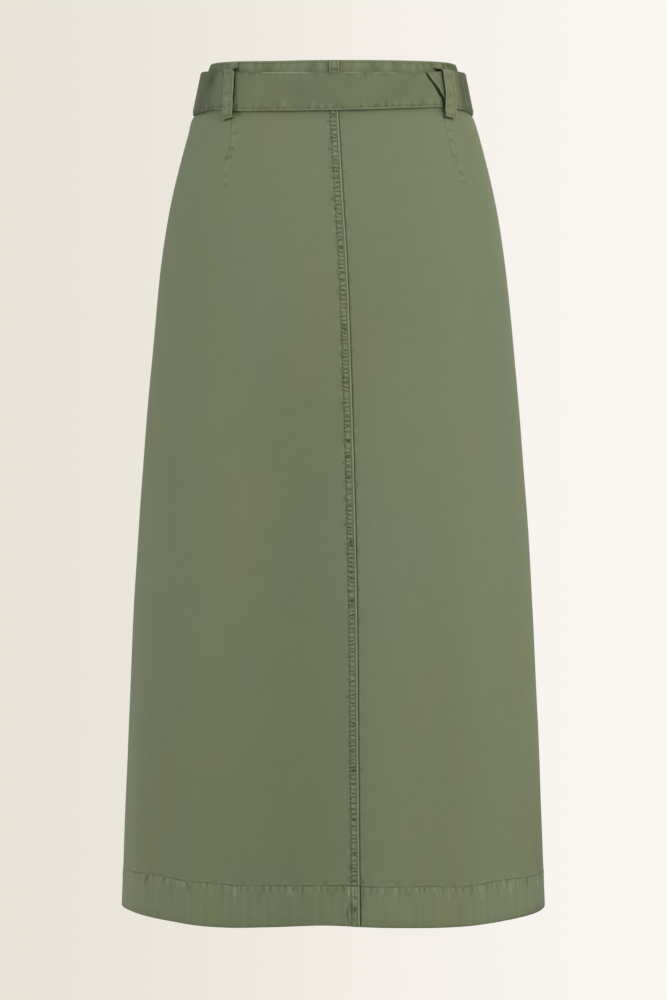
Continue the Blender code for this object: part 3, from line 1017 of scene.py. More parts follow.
def waistband_relief(angle, height):
    down = WAIST_TOP - height
    out = -0.25 * bell(down - EDGE_STITCH_INSET, 0.8)
    # Painted highlight on the rounded top edge and painted shade in the edge stitch's groove.
    wear = 0.3 * bell(down - 0.4, 0.8) - 0.22 * bell(down - EDGE_STITCH_INSET, 0.8)
    bump, shade = sum_of_puckers(WAISTBAND_PUCKERS, angle * WAIST_GIRTH_PER_DEGREE, down)
    out, wear = out + bump, wear + 0.32 * shade
    # Painted shadow on the waistband along the sides of the loop that hangs behind the belt.
    for loop in LOOPS:
        beside = np.abs(turned_by(angle, loop.top_angle)) * WAIST_GIRTH_PER_DEGREE - loop.width / 2
        wear = wear - 0.45 * bell(beside - 0.5, 0.7) * (loop.strap_layers == 0)
    # Painted shade toward the waistband's ends, darker on the wearer's right.
    end_shade = np.where(turned_by(angle, 0.0) > 0, 0.5, 0.22)
    return out, wear - 0.12 - end_shade * smooth(np.abs(turned_by(angle, 0.0)), 45.0, 62.0)


def waist_droop(angle):
    """How far the waistband's top edge sinks at the sides of the body."""
    turned = turned_by(angle, 0.0)
    at_sides = np.where(turned < 0, 0.4, 1.1) * bell(np.abs(turned) - 90.0, 14.0)
    return at_sides + 0.6 * bell(turned + 30.0, 17.0)


def grid_wall(name, outer_points, inner_points, wear, finish, inner_step):
    """A cloth wall that is equally fine all over its outer face."""
    rows = list(range(outer_points.shape[0]))
    columns = list(range(outer_points.shape[1]))
    inner_rows, inner_columns = every(inner_step, rows[-1]), every(inner_step, columns[-1])
    outer = Layer(outer_points, wear, rows, columns, cells_cut(rows, columns, True))
    plain = cells_cut(inner_rows, inner_columns, False)
    inner = Layer(inner_points, INNER_WEAR_AND_SHADING * wear, inner_rows, inner_columns, plain)
    return wall_piece(name, outer, inner, places_on(outer_points), finish)


def edge_rows(top, low, step):
    """Heights from a wall's top edge to its lower one, close together at both."""
    near = np.array([0.0, 0.3, 0.8, 1.5])
    middle = np.linspace(top - 2.4, low + 2.4, int((top - low - 4.8) / step) + 2)
    return np.concatenate([top - near, middle, low + near[::-1]])


def make_waistband(finish):
    first = -180.0 - WAIST_UNDERLAP_ANGLE
    angles = np.linspace(first, 180.0, int((180.0 - first) / WAISTBAND_STEP_ANGLE) + 1)[None, :]
    heights = edge_rows(WAIST_TOP, WAIST_SEAM, 1.3)[:, None]
    angles, heights = np.broadcast_arrays(angles, heights)
    out, wear = waistband_relief(angles, heights)
    below_top = WAIST_TOP - heights
    heights = heights - waist_droop(angles) * smooth(heights, 4.0, WAIST_TOP)
    from_ends = np.minimum(angles - first, 180.0 - angles) * WAIST_GIRTH_PER_DEGREE
    turned = turned_edge(below_top, WAISTBAND_CLOTH) * turned_edge(from_ends + 0.1, WAISTBAND_CLOTH)
    pinch = WAISTBAND_CLOTH / 2 * (1 - turned)
    behind = underlap_out(angles)
    calm = np.where(angles < -180.0 + UNDERLAP_TURN_ANGLE, 0.2, 1.0)
    outer = offset(GARMENT, angles, heights, behind + out * calm - pinch)
    inner = offset(GARMENT, angles, heights, behind + 0.4 * out * calm - WAISTBAND_CLOTH + pinch)
    piece = grid_wall("waistband_cloth", outer, inner, wear, finish, 4)
    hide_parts("waistband")


# ---------------------------------------------------------------- belt

BELT_FIRST_ANGLE = -180.6
BELT_LAST_ANGLE = 180.0 + BELT_TAIL_ANGLE
# The number of rows across the strap between the close rows at its edges.
BELT_ROWS = 46
BELT_PUCKERS_LOW = (
    Puckers(71, -480.0, 600.0, (2.0, 5.4), (0.7, 1.4), (2.4, 3.8), (1.3, 2.5), (0.08, 0.36), 0.2),
    Puckers(72, -480.0, 600.0, (9.0, 26.0), (1.0, 2.0), (4.0, 6.5), (2.4, 4.6), (0.10, 0.34), 0.25),
)
BELT_PUCKERS_HIGH = (
    Puckers(73, -480.0, 600.0, (5.0, 13.0), (0.8, 1.6), (1.8, 3.4), (1.2, 2.4), (0.08, 0.24), 0.2),
)
BELT_GIRTH_PER_DEGREE = 2.27


class Dent(NamedTuple):
    """A soft hollow or ridge pressed into the belt, leaning by lean degrees per millimetre of height."""

    angle: float
    height: float
    width: float
    reach: float
    depth: float
    lean: float


DENTS = (
    Dent(-66.0, 2.0, 7.0, 9.0, -1.9, 0.10),
    Dent(-71.0, -17.0, 7.0, 9.0, -0.7, 0.10),
    Dent(-61.0, -12.0, 3.5, 9.0, 0.7, 0.0),
    Dent(-58.0, 2.0, 4.0, 8.0, 0.7, 0.0),
    Dent(70.5, -8.0, 2.4, 16.0, -0.4, 0.02),
    Dent(73.5, -10.0, 2.0, 17.0, 0.35, 0.03),
    Dent(76.5, -6.0, 2.2, 14.0, -0.45, 0.02),
    Dent(80.0, -10.0, 2.4, 15.0, 0.35, 0.02),
    Dent(30.0, -10.0, 9.0, 12.0, -0.7, 0.3),
    Dent(14.0, -6.0, 10.0, 14.0, 0.5, 0.2),
    Dent(-14.0, -12.0, 12.0, 12.0, -0.5, -0.3),
    Dent(-34.0, -8.0, 10.0, 14.0, 0.6, 0.2),
    Dent(110.0, -10.0, 9.0, 14.0, -0.9, 0.2),
    Dent(-110.0, -12.0, 9.0, 14.0, -0.9, -0.2),
    Dent(150.0, -8.0, 8.0, 12.0, 0.8, 0.2),
    Dent(-150.0, -10.0, 9.0, 12.0, 0.6, 0.1),
)
# A dent's colour changes by this share of its depth: painted shade in hollows and painted highlight on
# ridges.
DENT_WEAR_AND_SHADING = 0.16


# The crease's angle where the belt is folded over itself beside the right back loop, by height.
FOLD_CREASE = (
    Stop(8.6, 43.5),
    Stop(2.0, 46.0),
    Stop(-5.6, 49.4),
    Stop(-13.1, 51.9),
    Stop(-16.8, 53.3),
    Stop(-32.0, 54.0),
)


# Painted light on the belt's top edge by angle: a painted highlight in places, painted shade where it lies in
# the waistband's shade in others.
BELT_TOP_RIM = (
    Stop(-180.0, 0.2),
    Stop(-90.0, 0.1),
    Stop(-50.0, -0.4),
    Stop(-34.0, -0.3),
    Stop(-30.0, 0.8),
    Stop(-12.0, 0.75),
    Stop(-9.0, -0.2),
    Stop(3.0, -0.25),
    Stop(6.0, 0.6),
    Stop(11.0, 0.6),
    Stop(13.0, -0.15),
    Stop(17.0, -0.1),
    Stop(19.0, 0.6),
    Stop(22.0, 0.1),
    Stop(26.5, 0.5),
    Stop(29.0, -0.2),
    Stop(42.0, -0.2),
    Stop(90.0, 0.2),
    Stop(180.0, 0.3),
)


def belt_crush(angle):
    """1 past the two back loops, where the belt is pressed in and darkened with painted shade, and 0
    elsewhere.
    """
    left = window(-angle, 54.0, 66.0, 96.0, 112.0)
    right = window(angle, 64.0, 72.0, 96.0, 112.0)
    return np.maximum(left, right)


def belt_height(angle, share):
    high = hermite(BELT_EDGES, "high", angle)
    low = hermite(BELT_EDGES, "low", angle)
    return high + (low - high) * share


def belt_width(angle):
    return belt_height(angle, 0.0) - belt_height(angle, 1.0)


def belt_out(angle, share):
    """How far the belt's inner face stands off the belt's form."""
    high_out = hermite(BELT_EDGES, "high_out", angle)
    low_out = hermite(BELT_EDGES, "low_out", angle)
    lift = np.interp(angle, column_of(STRAP_LIFTS, "place"), column_of(STRAP_LIFTS, "value"))
    return high_out + (low_out - high_out) * share + lift


def fold_layer(angle, height):
    """The folded layer beside the right back loop: a deep crease darkened with painted shadow, and a raised
    rim on its right brightened with a painted highlight.
    """
    line = hermite(FOLD_CREASE, "value", height)
    right_of = (angle - line) * BELT_GIRTH_PER_DEGREE * 0.9
    deep = window(-height, -10.0, -4.0, 26.0, 31.0)
    width = 0.6 + 0.5 * smooth(-height, 0.0, 10.0)
    out = -3.6 * deep * bell(right_of, width) - 1.1 * smooth(right_of, -12.0, 0.0) * (right_of < 0) * deep
    out = out + 1.5 * bell(right_of - 2.0, 1.5) * deep * (height > -16.0)
    wear = -4.2 * deep * bell(right_of, width) + 0.75 * deep * bell(right_of - 2.0, 0.9) * (height > -16.0)
    return out, wear


# The gap along the left back loop's inner edge, a shallow hollow darkened with painted shadow: its angle at
# the belt's middle height, and its lean.
LOOP_GAP_ANGLE = -47.4
LOOP_GAP_LEAN = -0.052


def belt_relief(angle, share):
    height = belt_height(angle, share)
    width = belt_width(angle)
    from_low, from_high = (1 - share) * width, share * width
    place = angle * BELT_GIRTH_PER_DEGREE
    crushed_and_shaded = belt_crush(angle)
    out = 0.25 * bell(from_low - 0.9, 0.8) - 0.28 * bell(from_low - EDGE_STITCH_INSET - 0.5, 0.8)
    out = out - 0.15 * bell(from_high - EDGE_STITCH_INSET, 0.7) + 0.35 * ripple(place, 61.0, 74)
    out = out - (0.7 + 0.5 * crushed_and_shaded) * bell(from_low, 2.4)
    # Painted highlight on the lower edge's rounded rim and painted shade in its stitch groove.
    rim = (0.7 + 0.4 * ripple(place, 43.0, 75)) * (1 - 1.3 * crushed_and_shaded)
    wear = 0.7 * rim * bell(from_low - 0.5, 0.7) - 0.25 * bell(from_low - EDGE_STITCH_INSET - 0.4, 0.7)
    # Painted highlight and painted shade along the top edge, and painted shade over the pressed-in ends.
    top_rim = hermite(BELT_TOP_RIM, "value", np.clip(angle, -180.0, 180.0))
    wear = wear + top_rim * bell(from_high - 0.4, 0.7) - 0.12 - np.where(angle > 0, 0.65, 0.5) * crushed_and_shaded
    gap = (angle - LOOP_GAP_ANGLE - LOOP_GAP_LEAN * (height + 9.0)) * BELT_GIRTH_PER_DEGREE
    # A shallow hollow with a painted shadow in it.
    hollow = bell(gap, 1.1) * (0.6 + 0.4 * bell(height + 8.0, 13.0))
    out, wear = out - 0.9 * hollow, wear - 1.5 * hollow
    for kinds, across in ((BELT_PUCKERS_LOW, from_low), (BELT_PUCKERS_HIGH, from_high)):
        bump, shade = sum_of_puckers(kinds, place, across)
        out, wear = out + bump, wear + 0.5 * shade
    for dent in DENTS:
        middle = dent.angle + dent.lean * (height - dent.height)
        beside = bell((angle - middle) * BELT_GIRTH_PER_DEGREE, dent.width)
        shape = beside * bell(height - dent.height, dent.reach)
        out, wear = out + dent.depth * shape, wear + DENT_WEAR_AND_SHADING * dent.depth * shape
    near = np.abs(angle - 49.0) < 12.0
    more, shade = fold_layer(angle[near], height[near])
    out[near] += more
    wear[near] += shade
    return out, wear


def belt_columns():
    """Angles along the strap, finer at the left loop's gap, at the folded layer and in the buckle."""
    stretches = (
        (BELT_FIRST_ANGLE, -50.0, 0.5),
        (-50.0, -45.0, 0.2),
        (-45.0, 41.0, 0.5),
        (41.0, 57.0, 0.2),
        (57.0, 171.0, 0.5),
        (171.0, 188.0, 0.4),
    )
    parts = [np.arange(start, end - 1e-6, step) for start, end, step in stretches]
    return np.concatenate(parts + [np.linspace(188.0, BELT_LAST_ANGLE, 90)])


def make_belt(finish):
    shares = np.concatenate([[0.0, 0.008, 0.022], np.linspace(0.045, 0.955, BELT_ROWS), [0.978, 0.992, 1.0]])
    angles, shares = np.broadcast_arrays(belt_columns()[None, :], shares[:, None])
    heights = belt_height(angles, shares)
    out, wear = belt_relief(angles, shares)
    calm = 1 - 0.8 * window(angles, 168.0, 172.0, 187.0, 190.0)
    out = out * calm
    width = belt_width(angles)
    from_edge = np.minimum(shares, 1 - shares) * width
    from_ends = np.minimum(angles - BELT_FIRST_ANGLE, BELT_LAST_ANGLE - angles) * BELT_GIRTH_PER_DEGREE
    turned = turned_edge(from_edge, BELT_CLOTH) * turned_edge(from_ends + 0.1, BELT_CLOTH)
    pinch = BELT_CLOTH / 2 * (1 - turned)
    base = belt_out(angles, shares)
    outer = offset(BELT, angles, heights, base + BELT_CLOTH + out - pinch)
    inner_out = np.minimum(base + 0.35 * np.minimum(out, 0.0), base + BELT_CLOTH + out - 0.8)
    inner = offset(BELT, angles, heights, np.maximum(inner_out, -1.2) + pinch)
    piece = grid_wall("belt_cloth", outer, inner, wear, finish, 3)
    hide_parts("belt")


# ---------------------------------------------------------------- belt loops

# How far a loop stands off the belt under it, and where its puckers start and end.
LOOP_PLAY = 1.1
LOOP_RUN = (-38.0, 19.0)
# Heights of a loop's top edge and of the bar tack at its top, with the belt over it and without.
LOOP_TOP = 18.6
TACK_OVER_BELT = 12.8
TACK_BEHIND_BELT = 10.6


def loop_heights(loop):
    """Heights down a loop, close together where it steps over the belt and back."""
    parts = [
        np.linspace(LOOP_TOP, 14.2, 8),
        np.linspace(13.6, 10.8, 12),
        np.linspace(10.2, max(-30.4, loop.low_end + 0.5), 44),
    ]
    if loop.low_end < -31.0:
        parts += [np.linspace(-30.8, -34.0, 12), np.linspace(-34.6, loop.low_end, 6)]
    heights = np.concatenate(parts)
    return heights[heights >= loop.low_end]


def loop_out(loop, angle, height, side):
    """How far out a loop's inner face is, as a point; side runs from -1 to 1 across the loop."""
    on_garment = offset(GARMENT, angle, height, SEAM_GAP + 0.0 * angle)
    if loop.strap_layers == 0:
        return on_garment
    top, low = belt_height(angle, 0.0), belt_height(angle, 1.0)
    share = np.clip((top - height) / (top - low), 0.0, 1.0)
    stand_off = belt_out(angle, share) + BELT_CLOTH + LOOP_PLAY + 0.4 * ripple(height, 26.0, len(loop.name))
    if loop.strap_layers == 2:
        stand_off = stand_off + STRAP_LIFTS[-1].value
    stand_off = stand_off + loop.first_lift * np.maximum(-side, 0.0) + loop.last_lift * np.maximum(side, 0.0)
    over_belt = offset(BELT, angle, height, stand_off)
    over = np.clip(hermite(LOOP_PATH, "value", height), 0.0, 1.0)[..., None]
    return on_garment + (over_belt - on_garment) * over


def make_loop(loop, finish):
    """Makes a loop and returns its outer face's points for its stitches."""
    heights = loop_heights(loop)[:, None]
    share = (WAIST_TOP - heights) / (WAIST_TOP - loop.low_end)
    middle = loop.top_angle + (loop.low_angle - loop.top_angle) * share
    per_degree = mm_per_degree(GARMENT, middle, heights)
    shift = loop.top_shift * smooth(heights, loop.shift_from, 13.5) / per_degree
    sides = np.concatenate([[-1.0, -0.95, -0.86], np.linspace(-0.72, 0.72, 13), [0.86, 0.95, 1.0]])[None, :]
    wander = 0.25 * ripple(heights, 31.0, len(loop.name) + 7)
    angles = middle + shift + (sides * loop.width / 2 + wander) / per_degree
    sides = np.broadcast_to(sides, angles.shape)
    grid_heights = heights + loop.slant * sides * smooth(-heights, 10.0, 36.0)
    across = sides * loop.width / 2
    seed = len(loop.name)
    kinds = (
        Puckers(seed + 80, *LOOP_RUN, (3.0, 7.0), (0.9, 1.8), (-2.5, 2.5), (1.6, 3.4), (0.10, 0.30), 0.5),
        Puckers(seed + 90, *LOOP_RUN, (2.5, 5.0), (0.7, 1.2), (-4.2, -3.4), (0.7, 1.3), (0.06, 0.2), 0.3),
    )
    out, shade = sum_of_puckers(kinds, grid_heights, across)
    wear = 0.5 * shade
    edge = loop.width / 2 - np.abs(across)
    out = out + 0.12 * bell(edge - 0.8, 0.6) - 0.22 * bell(edge - 2.0, 0.6)
    sewn = smooth(grid_heights, 11.0, 13.0) if loop.strap_layers else 0.0
    # Painted highlight on the loop's turned edges, weaker where it is sewn down, and painted shade just
    # inside them.
    wear = wear + 0.5 * bell(edge - 0.4, 0.6) * (1 - 0.7 * sewn) - 0.3 * bell(edge - 2.0, 0.6)
    # Painted shade where the loop steps out over the belt.
    wear = wear - 0.9 * bell(heights - 12.6, 0.8) * (loop.strap_layers > 0)
    out = out - 0.5 * sewn
    from_end = np.minimum(LOOP_TOP - heights, heights - loop.low_end)
    below = heights < 0
    # Painted highlight on the lower end's rim and painted shade just above it.
    wear = wear + 0.8 * bell(from_end - 0.4, 0.6) * below - 0.3 * bell(from_end - 2.2, 0.8) * below
    turned = turned_edge(edge, LOOP_CLOTH) * turned_edge(from_end + 0.15, LOOP_CLOTH)
    pinch = LOOP_CLOTH / 2 * (1 - turned)
    inner_face = loop_out(loop, angles, grid_heights, sides)
    normal = level_normal(GARMENT, angles, grid_heights)
    outer = inner_face + normal * (LOOP_CLOTH + out - pinch)[..., None]
    inner = inner_face + normal * (np.minimum(out, 0.0) * 0.5 + pinch)[..., None]
    piece = grid_wall(loop.name + "_cloth", outer, inner, wear, finish, 2)
    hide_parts(loop.name)
    return outer


# ---------------------------------------------------------------- stitches

STITCH_SIDES = 6
STITCH_RINGS = ((0.0, 0.35, -0.9), (0.14, 0.95, 0.0), (0.5, 1.0, 0.35), (0.86, 0.95, 0.0), (1.0, 0.35, -0.9))


class Threads:
    """Collects stitches and joins them into one mesh."""

    def __init__(self):
        self.points = []
        self.faces = []

    def run(self, path, normals, length=STITCH_LENGTH, gap=STITCH_GAP, radius=STITCH_RADIUS):
        """Stitches along a path of points in millimetres, humped along the normals."""
        steps = np.linalg.norm(np.diff(path, axis=0), axis=-1)
        place = np.concatenate([[0.0], np.cumsum(steps)])

        def at(values, where):
            return np.stack([np.interp(where, place, values[:, k]) for k in range(3)], axis=-1)

        starts = np.arange(0.0, place[-1] - length, length + gap)
        first, last = at(path, starts), at(path, starts + length)
        up = at(normals, starts + length / 2)
        way = unit(last - first)
        up = unit(up - way * (up * way).sum(axis=-1, keepdims=True))
        side = np.cross(way, up)
        for a, b, u, s in zip(first, last, up, side):
            self.add(a, b, u, s, radius)

    def add(self, first, last, up, side, radius):
        base = len(self.points)
        for share, size, lift in STITCH_RINGS:
            middle = first + (last - first) * share + up * lift * radius
            for k in range(STITCH_SIDES):
                turn = 2 * math.pi * k / STITCH_SIDES
                self.points.append(middle + (side * math.cos(turn) + up * math.sin(turn)) * radius * size)
        for ring in range(len(STITCH_RINGS) - 1):
            low = base + ring * STITCH_SIDES
            for k in range(STITCH_SIDES):
                n = (k + 1) % STITCH_SIDES
                self.faces.append((low + k, low + n, low + n + STITCH_SIDES, low + k + STITCH_SIDES))
        end = base + (len(STITCH_RINGS) - 1) * STITCH_SIDES
        self.faces.append(tuple(base + k for k in reversed(range(STITCH_SIDES))))
        self.faces.append(tuple(end + k for k in range(STITCH_SIDES)))

    def piece(self, name, finish, slot):
        made = new_piece(name, np.array(self.points), self.faces, finish, smooth_below=80.0)


THREAD_SINK = 0.05


def laid_on(form, angle, height, out):
    """Points where thread lies on a form's cloth, and the level normals there."""
    return offset(form, angle, height, out + THREAD_SINK), level_normal(form, angle, height)


def on_skirt(angle, height):
    return laid_on(GARMENT, angle, height, skirt_relief(angle, height)[1])


def skirt_threads(finish):
    threads = Threads()
    for seam in SEAMS:
        for row in (ROW_OUTER, ROW_INNER):
            for start, end in ((WAIST_SEAM - 2.0, HEM_STITCH + 2.0), (HEM_STITCH - 2.0, HEM_EDGE + 3.0)):
                heights = np.arange(start, end, -0.85)
                angle = seam_angle(seam, heights)
                angle = angle + row * seam.side / mm_per_degree(GARMENT, angle, heights)
                threads.run(*on_skirt(angle, heights))
    threads.run(*on_skirt(*fly_line()))
    threads.piece("seam_stitches", finish, "skirt_twill")


FLY_WIDTH = 34.0
FLY_END = -165.0
FLY_CURVE = 38.0


def fly_line():
    """The curved row that holds the placket behind the front seam."""
    heights = np.arange(WAIST_SEAM - 2.0, FLY_END, -1.0)
    t = np.clip((FLY_END + FLY_CURVE - heights) / FLY_CURVE, 0.0, 1.0)
    across = FELL_WIDTH + (FLY_WIDTH - FELL_WIDTH) * np.sqrt(np.clip(1 - t * t, 0.0, 1.0))
    return 180.0 - across / mm_per_degree(GARMENT, 180.0, heights), heights


def hem_threads(finish):
    threads = Threads()
    angles = np.arange(-179.6, 179.8, 0.3)
    threads.run(*on_skirt(angles, hem_line(angles)))
    threads.piece("hem_stitches", finish, "skirt_twill")


def waistband_threads(finish):
    threads = Threads()
    angles = np.arange(-174.0, 179.0, 0.4)
    for height in (WAIST_TOP - EDGE_STITCH_INSET, WAIST_SEAM + EDGE_STITCH_INSET):
        heights = np.full(angles.shape, height)
        out = waistband_relief(angles, heights)[0]
        heights = heights - waist_droop(angles) * smooth(heights, 4.0, WAIST_TOP)
        threads.run(*laid_on(GARMENT, angles, heights, out))
    threads.piece("waistband_stitches", finish, "skirt_twill")


def belt_threads(finish):
    threads = Threads()
    angles = np.arange(BELT_FIRST_ANGLE + 2.0, BELT_LAST_ANGLE - 1.0, 0.35)
    width = belt_width(angles)
    for share in (EDGE_STITCH_INSET / width, 1 - (EDGE_STITCH_INSET + 0.5) / width):
        heights = belt_height(angles, share)
        out = belt_relief(angles, share)[0] + belt_out(angles, share) + BELT_CLOTH
        threads.run(*laid_on(BELT, angles, heights, out))
    threads.piece("belt_stitches", finish, "belt_twill")


BAR_TACK_STEP = 0.55


def loop_threads(loops, finish):
    """Two rows down each loop, and close bars of stitches across its sewn ends."""
    threads = Threads()
    for loop, outer in loops:
        middle = outer.shape[1] // 2
        heights = outer[:, middle, 2]
        normals = unit(np.cross(np.gradient(outer[:, middle], axis=0), outer[:, -1] - outer[:, 0]))
        normals *= np.sign((normals * outer[:, middle] * (1, 1, 0)).sum(axis=-1, keepdims=True))
        for column in (3, outer.shape[1] - 4):
            threads.run(outer[:, column] + normals * THREAD_SINK, normals, length=2.0, gap=0.8)
        tacks = [TACK_OVER_BELT] if loop.strap_layers else [TACK_BEHIND_BELT]
        if loop.strap_layers and "front" in loop.name:
            tacks.append(loop.low_end + 1.6)
        for height in tacks:
            row = int(np.argmin(np.abs(heights - height)))
            left, right, normal = outer[row, 2], outer[row, -3], normals[row]
            up = np.cross(normal, right - left)
            up = up / np.linalg.norm(up)
            count = int(np.linalg.norm(right - left) / BAR_TACK_STEP)
            for k in range(count):
                base = left + (right - left) * (k + 0.5) / count + normal * 0.25
                side = np.cross(up, normal)
                threads.add(base - up * 0.8, base + up * 0.8, normal, side, 0.3)
    threads.piece("loop_stitches", finish, "skirt_twill")


# ---------------------------------------------------------------- finishes


class Nodes:
    """A short way to add shader nodes to a tree and join them."""

    def __init__(self, tree):
        self.tree = tree

    def add(self, kind, settings=None, **inputs):
        """A node with its settings, and values or other nodes' sockets for its inputs."""
        node = self.tree.nodes.new(kind)
        for key, value in (settings or {}).items():
            setattr(node, key, value)
        for key, value in inputs.items():
            self.feed(node, key, value)
        return node

    def feed(self, node, name, value):
        name = name.replace("_", " ")
        socket = node.inputs[int(name)] if name.isdigit() else node.inputs[name]
        if isinstance(value, bpy.types.NodeSocket):
            self.tree.links.new(value, socket)
        else:
            socket.default_value = value

    def math(self, operation, first, second=0.0, third=0.0):
        values = {"0": first, "1": second, "2": third}
        return self.add("ShaderNodeMath", {"operation": operation}, **values).outputs[0]

    def scaled(self, value, factor, start):
        return self.math("MULTIPLY_ADD", value, factor, start)

    def blend(self, kind, share, first, second):
        settings = {"data_type": "RGBA", "blend_type": kind}
        return self.add("ShaderNodeMix", settings, **{"0": share, "6": first, "7": second}).outputs[2]

    def ramp(self, value, stops):
        node = self.add("ShaderNodeValToRGB", **{"0": value})
        for element, (place, colour) in zip(node.color_ramp.elements, stops):
            element.position = place
            element.color = (*colour, 1.0)
        return node.outputs[0]

    def noise(self, vector, scale, detail=2.0, roughness=0.5):
        values = {"Vector": vector, "Scale": scale, "Detail": detail, "Roughness": roughness}
        return self.add("ShaderNodeTexNoise", **values).outputs[0]

    def stretched(self, vector, scale):
        return self.add("ShaderNodeMapping", Vector=vector, Scale=scale).outputs[0]

    def space(self):
        return self.add("ShaderNodeTexCoord").outputs["Object"]


class Finish(Nodes):
    """A material's nodes."""

    def __init__(self, name):
        self.material = bpy.data.materials.new(name)
        self.material.use_nodes = True
        super().__init__(self.material.node_tree)
        self.shader = self.tree.nodes["Principled BSDF"]

    def set(self, **inputs):
        for name, value in inputs.items():
            self.feed(self.shader, name, value)

    def bump(self, height, strength, distance):
        node = self.add("ShaderNodeBump", Strength=strength, Distance=distance, Height=height)
        self.set(Normal=node.outputs[0])


def times(colour, factors):
    return tuple(part * factor for part, factor in zip(colour, factors))


def dimmed(colour, factor):
    return times(colour, (factor,) * 3)


TWILL_PITCH = 0.00075
# The colour dark furrows take: kept dye and painted shade.
FURROW_DYE_AND_SHADE = (0.20, 0.22, 0.14)


def twill(name, colour, wash_and_highlight):
    """Washed cotton twill: diagonal wale, slubby yarns, mottled dye, ridges paled by washing and painted
    highlight, and furrows darkened by kept dye and painted shade.
    """
    nodes = Finish(name)
    cloth = nodes.add("ShaderNodeUVMap", {"uv_map": "cloth"}).outputs[0]
    space = nodes.space()
    wear = nodes.add("ShaderNodeAttribute", {"attribute_name": "wear"}).outputs["Fac"]

    # Dye: broad warm and cool clouds, then a finer mottle and the warp's slubs.
    clouds = nodes.noise(nodes.stretched(space, (1.0, 1.0, 0.45)), 11.0, 3.0, 0.55)
    warm, cool = times(colour, (1.035, 1.0, 0.955)), times(colour, (0.965, 1.0, 1.035))
    base = nodes.ramp(clouds, ((0.34, cool), (0.66, warm)))
    mottle = nodes.noise(nodes.stretched(space, (1.0, 1.0, 0.7)), 85.0, 3.0, 0.6)
    slubs = nodes.noise(nodes.stretched(cloth, (1500.0, 110.0, 1.0)), 1.0, 2.0, 0.6)
    fibres = nodes.noise(nodes.stretched(cloth, (1.0, 1.0, 1.0)), 2300.0, 1.0, 0.5)
    tone = nodes.scaled(mottle, 0.10, 0.95)
    for part, share in ((slubs, 0.07), (fibres, 0.10)):
        tone = nodes.scaled(part, share, nodes.math("SUBTRACT", tone, share / 2))
    grey = nodes.add("ShaderNodeCombineColor", **{str(k): tone for k in range(3)})
    base = nodes.blend("MULTIPLY", 1.0, base, grey.outputs[0])

    # Paling and darkening: abrasion and painted highlights break up over the slubs; furrows keep their dye
    # and take painted shade.
    ragged = nodes.scaled(mottle, 0.9, 0.55)
    fade_and_highlight = nodes.math("MULTIPLY", nodes.math("MULTIPLY", nodes.math("MAXIMUM", wear, 0.0), ragged), wash_and_highlight)
    fade_and_highlight = nodes.math("MINIMUM", fade_and_highlight, 0.85)
    # The pale colour stands for washed-out dye and for painted highlights.
    pale = tuple(0.62 * c + 0.38 * g for c, g in zip(dimmed(colour, 1.75), (0.33, 0.35, 0.27)))
    base = nodes.blend("MIX", fade_and_highlight, base, (*pale, 1.0))
    # Below 0 the colour darkens toward the furrow colour: painted shade and painted shadow, with dye kept in
    # furrows.
    dark = nodes.math("MINIMUM", nodes.math("MAXIMUM", nodes.math("MULTIPLY", wear, -0.82), 0.0), 1.0)
    base = nodes.blend("MIX", dark, base, (*times(colour, FURROW_DYE_AND_SHADE), 1.0))

    # The wale runs up to the right at about 60 degrees.
    split = nodes.add("ShaderNodeSeparateXYZ", Vector=cloth)
    run = nodes.scaled(split.outputs[0], 0.87, nodes.math("MULTIPLY", split.outputs[1], -0.5))
    wobble = nodes.scaled(slubs, 0.00035, run)
    wale = nodes.math("SINE", nodes.math("MULTIPLY", wobble, 2 * math.pi / TWILL_PITCH))
    relief = nodes.scaled(wale, 0.5, nodes.math("MULTIPLY", slubs, 0.6))
    nodes.bump(nodes.scaled(mottle, 0.9, relief), 0.35, 0.00012)

    rough = nodes.scaled(fade_and_highlight, 0.06, nodes.scaled(mottle, 0.10, 0.80))
    nodes.set(Base_Color=base, Roughness=rough, Specular_IOR_Level=0.22)
    nodes.set(Sheen_Weight=0.10, Sheen_Roughness=0.45, Sheen_Tint=(0.86, 0.9, 0.78, 1.0))
    return nodes.material


def thread(name, colour):
    """Spun sewing thread, a little darker than the cloth, with a fine twist."""
    nodes = Finish(name)
    space = nodes.space()
    twist = nodes.noise(space, 1800.0, 1.0)
    dye = nodes.noise(space, 60.0, 2.0)
    tone = nodes.scaled(twist, 0.5, nodes.math("MULTIPLY", dye, 0.5))
    base = nodes.ramp(tone, ((0.35, dimmed(colour, 0.66)), (0.65, dimmed(colour, 0.98))))
    nodes.bump(twist, 0.5, 0.00008)
    nodes.set(Base_Color=base, Roughness=nodes.scaled(dye, 0.15, 0.6), Sheen_Weight=0.15)
    return nodes.material


def antique_brass(name, colour):
    """Dull brass plate with a brushed grain, rubbed bright on its edges."""
    nodes = Finish(name)
    space = nodes.space()
    grain = nodes.noise(nodes.stretched(space, (1.0, 1.0, 9.0)), 420.0, 3.0, 0.6)
    cloudy = nodes.noise(space, 130.0, 3.0, 0.6)
    edge = nodes.add("ShaderNodeNewGeometry").outputs["Pointiness"]
    rubbed = nodes.ramp(edge, ((0.50, (0.0, 0.0, 0.0)), (0.60, (1.0, 1.0, 1.0))))
    base = nodes.ramp(cloudy, ((0.32, dimmed(colour, 0.62)), (0.68, colour)))
    base = nodes.blend("MIX", nodes.math("MULTIPLY", rubbed, 0.7), base, (*dimmed(colour, 2.1), 1.0))
    nodes.bump(nodes.scaled(grain, 0.6, cloudy), 0.25, 0.00006)
    nodes.set(Base_Color=base, Metallic=1.0, Roughness=nodes.scaled(grain, 0.22, 0.30))
    return nodes.material


WASH_TINT = (1.005, 1.0, 0.93)


